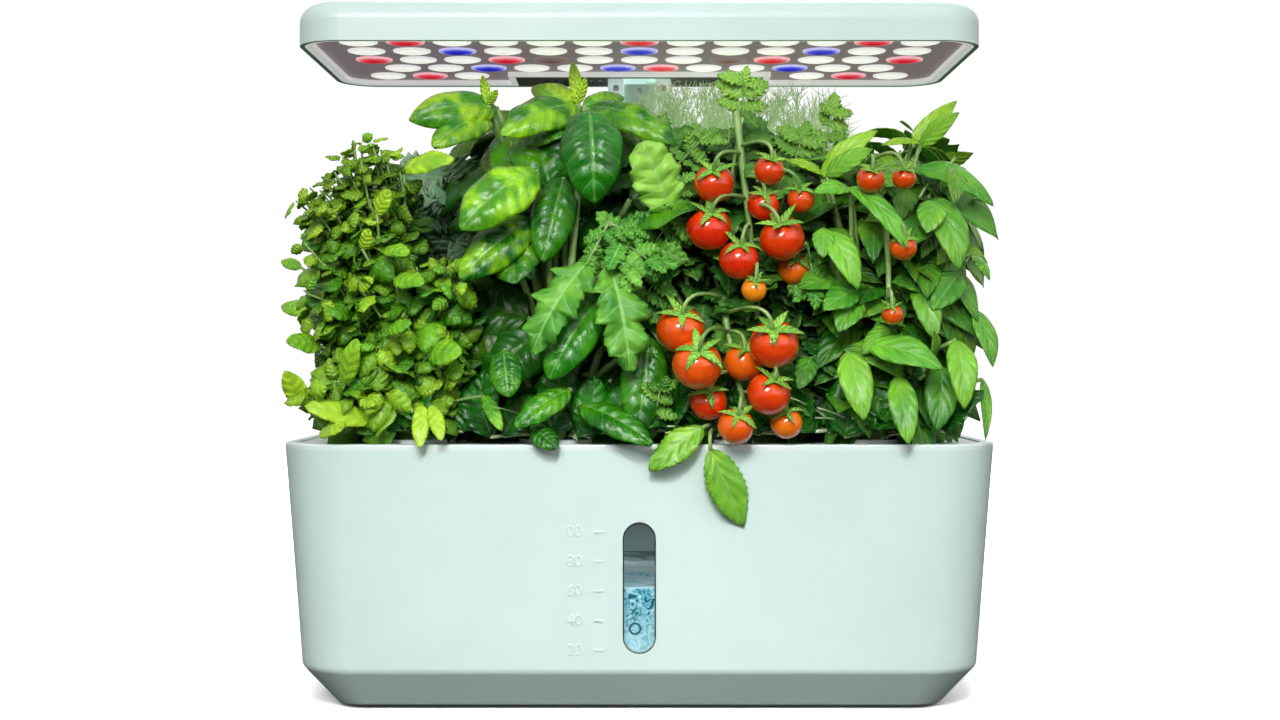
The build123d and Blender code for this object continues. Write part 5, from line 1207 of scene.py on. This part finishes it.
# The low leaves keep to the darker half of their own tone: painted shade.
leaves("low_leaves", made, none, rng.uniform(0, 0.6, len(length)), none, chard_green, "dark_leaf")
sprout_start = np.concatenate([pod_starts(rng, column, 0, 16, 0.007) for column in range(4)])
sprout_end = near_pods(rng, sprout_start, (-0.030, 0.030), (-0.034, -0.010), (0.110, 0.126))
sprout_finish = moulded("sprout_pale", (0.34, 0.52, 0.16), (0.66, 0.76, 0.46), 0.5, grain=0.0001, fine=900.0,
                        slow=120.0)
stems("low_stalks", "light_leaf", (arcs(low_start, low_end, 0.004, 8), 0.0012, 0.0007, 5),
      (arcs(sprout_start, sprout_end, 0.006, 10, 0.003, rng), 0.0006, 0.0003, 5), finish=sprout_finish)

# ---------------------------------------------------------------- cherry tomatoes
# The fruits hang from forked truss stems by short jointed stalks, each under a star of five narrow
# sepals. A fruit is a slightly flattened ball with a dimple at its stalk, ripe red or still orange.
# x, y, z and radius in millimetres, how orange it is, and which truss it hangs on.
fruits = np.array((
    (29, -74, 208, 8.0, 0.05, 0), (50.5, -74, 213, 6.0, 0.1, 0), (48.5, -70, 200, 6.5, 0.05, 0),
    (63, -72, 202, 5.5, 0.25, 0), (27, -74, 190.5, 9.0, 0.0, 0), (55.5, -75, 186.5, 9.0, 0.05, 0),
    (38.5, -78, 178, 8.0, 0.0, 0), (61, -65, 175, 6.5, 0.55, 0), (44, -82, 166.5, 5.0, 1.0, 0),
    (16, -74, 151, 9.7, 0.25, 1), (51.5, -86, 145.5, 9.7, 0.1, 1), (22, -87, 137.5, 9.7, 0.25, 1),
    (40.5, -74, 138.5, 7.8, 0.45, 1), (27, -74, 123, 7.4, 0.05, 1), (49.5, -84, 126.5, 8.6, 0.1, 1),
    (37, -83, 114, 7.2, 0.35, 1), (57, -76, 115, 6.4, 0.7, 1), (102, -80, 209.5, 4.7, 0.2, 2),
    (89, -80, 209, 5.5, 0.2, 2), (101.5, -80, 183, 5.5, 0.35, 2), (97.5, -80, 157, 4.3, 0.3, 2),
))
rng = np.random.default_rng(19)
centres, fruit_radii = fruits[:, :3] / 1000, fruits[:, 3] / 1000
tops = np.column_stack((rng.normal(0, 0.18, len(fruits)), rng.uniform(-1.1, -0.6, len(fruits)), np.ones(len(fruits))))
tops = unit(tops)
across = unit(np.cross(tops, np.array([0.0, 1.0, 0.1])))
deep = np.cross(tops, across)
fruit_rings, fruit_sides = 22, 28
turn = np.linspace(0.02, pi - 0.02, fruit_rings)
level = 0.94 * np.cos(turn) - 0.20 * np.exp(-((turn / 0.34) ** 2)) + 0.03
angle = np.arange(fruit_sides) * 2 * pi / fruit_sides
girth = np.sin(turn)[:, None] * (1 + 0.012 * np.cos(5 * angle))
spin = np.cos(angle)[:, None] * across[:, None, None, :] + np.sin(angle)[:, None] * deep[:, None, None, :]
points = (
    centres[:, None, None, :]
    + fruit_radii[:, None, None, None] * girth[None, :, :, None] * 0.985 * spin
    + fruit_radii[:, None, None, None] * level[None, :, None, None] * tops[:, None, None, :]
).reshape(-1, 3)
corners, sizes = ring_faces(fruit_rings, fruit_sides)
each = fruit_rings * fruit_sides
corners = (np.arange(len(fruits))[:, None] * each + corners).ravel()
one_uv = np.column_stack((np.tile(angle / (2 * pi), fruit_rings), np.repeat(turn / pi, fruit_sides)))
fruit_tint = np.column_stack((fruits[:, 4], rng.uniform(0, 1, (len(fruits), 2)), np.ones(len(fruits))))

skin = Finish("fruit_skin")
unripe = skin.read("Attribute", "Color", attribute_name="leaf").parts("Color", ("Red",))[0]
down = skin.read("UVMap", uv_map="blade").parts()[1]
cloud = skin.place.noise(90.0)
ripe = cloud.blend((0.72, 0.006, 0.0), (0.88, 0.040, 0.0))
ripe = (down.ramp(0.05, 0.45, 1.0, 0.0) * 0.30).blend(ripe, (0.90, 0.14, 0.0))
orange = cloud.blend((0.92, 0.17, 0.0), (0.96, 0.36, 0.01))
fruit_skin = skin.done(
    Base_Color=unripe.blend(ripe, orange), Roughness=skin.place.noise(2400.0, 1.0).ramp(0.3, 0.7, 0.22, 0.30),
    Coat_Weight=1.0, Coat_Roughness=0.04, Specular_IOR_Level=0.2,
)
fruit_piece = new_piece("cherry_tomatoes", points, corners, np.tile(sizes, len(fruits)), fruit_skin, "deck",
                        "fruit_skin", np.tile(one_uv, (len(fruits), 1)), np.repeat(fruit_tint, each, axis=0))
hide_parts("tomato_fruits")

# Five sepals spread from each fruit's stalk and turn up at their ends.
sepal_turn = np.arange(5) * 2 * pi / 5 + rng.uniform(0, 2 * pi, (len(fruits), 1))
dimple = centres + tops * (fruit_radii * (0.94 - 0.20 + 0.06))[:, None]
out = np.cos(sepal_turn)[..., None] * across[:, None, :] + np.sin(sepal_turn)[..., None] * deep[:, None, :]
sepal_top = np.repeat(tops, 5, axis=0)
along = unit(out.reshape(-1, 3) + 0.42 * sepal_top)
length = np.repeat(fruit_radii, 5) * rng.uniform(0.95, 1.35, 5 * len(fruits))
made = blades(np.repeat(dimple, 5, axis=0), along, squared(sepal_top, along), length, length * 0.16,
              ovate(0.3, 1.0), 9, 3, bend=rng.uniform(-0.2, 1.3, len(length)), fold=0.3, cup=0.0)
sepal_age, sepal_shade = rng.uniform(0.4, 1.0, len(length)), rng.uniform(0, 1, len(length))
leaves("sepals", made, sepal_age, sepal_shade, np.zeros(len(length)), tomato_green, "tomato_leaf")

# Each truss has one bowed main stem, and every fruit's own stalk leaves it and ends in the dimple.
truss_lines = np.array((
    ((38, -60, 240), (41, -66, 214), (43, -66, 190), (46, -70, 172)),
    ((33, -62, 164), (34, -68, 152), (37, -72, 136), (42, -72, 118)),
    ((86, -60, 222), (94, -70, 214), (98, -70, 190), (97, -72, 164)),
)) / 1000
t = np.linspace(0, 1, 25)[None, :, None]
p0, p1, p2, p3 = (truss_lines[:, None, k] for k in range(4))
truss_stems = (1 - t) ** 3 * p0 + 3 * (1 - t) ** 2 * t * p1 + 3 * (1 - t) * t**2 * p2 + t**3 * p3
own_truss = truss_stems[fruits[:, 5].astype(int)]
gap = np.linalg.norm(own_truss - (dimple + tops * 0.006)[:, None, :], axis=2)
gap = gap + 0.6 * np.abs(own_truss[..., 2] - dimple[:, None, 2] - 0.008)
start = own_truss[np.arange(len(fruits)), gap.argmin(axis=1)]
knee = dimple + tops * (0.5 * np.linalg.norm(start - dimple, axis=1) + 0.003)[:, None]
stalks = bent(start, knee, dimple - tops * 0.001, 10)
stems("truss_stems", "tomato_leaf", (truss_stems, 0.0016, 0.0010, 8), (stalks, 0.00075, 0.00075, 6))

# ---------------------------------------------------------------- leaves over the rim
# Two basil leaves hang over the front rim on soft stalks.
rim_base = np.array(((0.0245, -0.0772, 0.1135), (0.0275, -0.0780, 0.1050)))
rim_tip = np.array(((0.0030, -0.0840, 0.0990), (0.0410, -0.0800, 0.0750)))
along = unit(rim_tip - rim_base)
face = squared(unit(np.array(((-0.25, -0.9, 0.35), (0.1, -1.0, 0.15)))), along)
length = np.linalg.norm(rim_tip - rim_base, axis=1)
made = blades(rim_base, along, face, length, np.array((0.0068, 0.0078)), ovate(0.45, 0.8, 0.10), 25, 11, bend=0.35,
              fold=0.25, cup=0.25, ruffle=0.10, waves=2.0, quilt=0.06, phase=np.array((0.1, 0.5)))
rim_leaves = leaves("rim_leaves", made, (0.30, 0.25), (0.9, 0.8), (0.7, 0.6), pepper_green, "light_leaf")
rim_start = np.array(((0.0290, -0.0600, 0.1130), (0.0300, -0.0600, 0.1120)))
rim_top_bend = np.array(((0.0275, -0.0760, 0.1150), (0.0265, -0.0785, 0.1145)))
stems("rim_leaf_stalks", "light_leaf", (bent(rim_start, rim_top_bend, rim_base, 12), 0.0008, 0.0008, 6))
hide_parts("trailing_leaves")
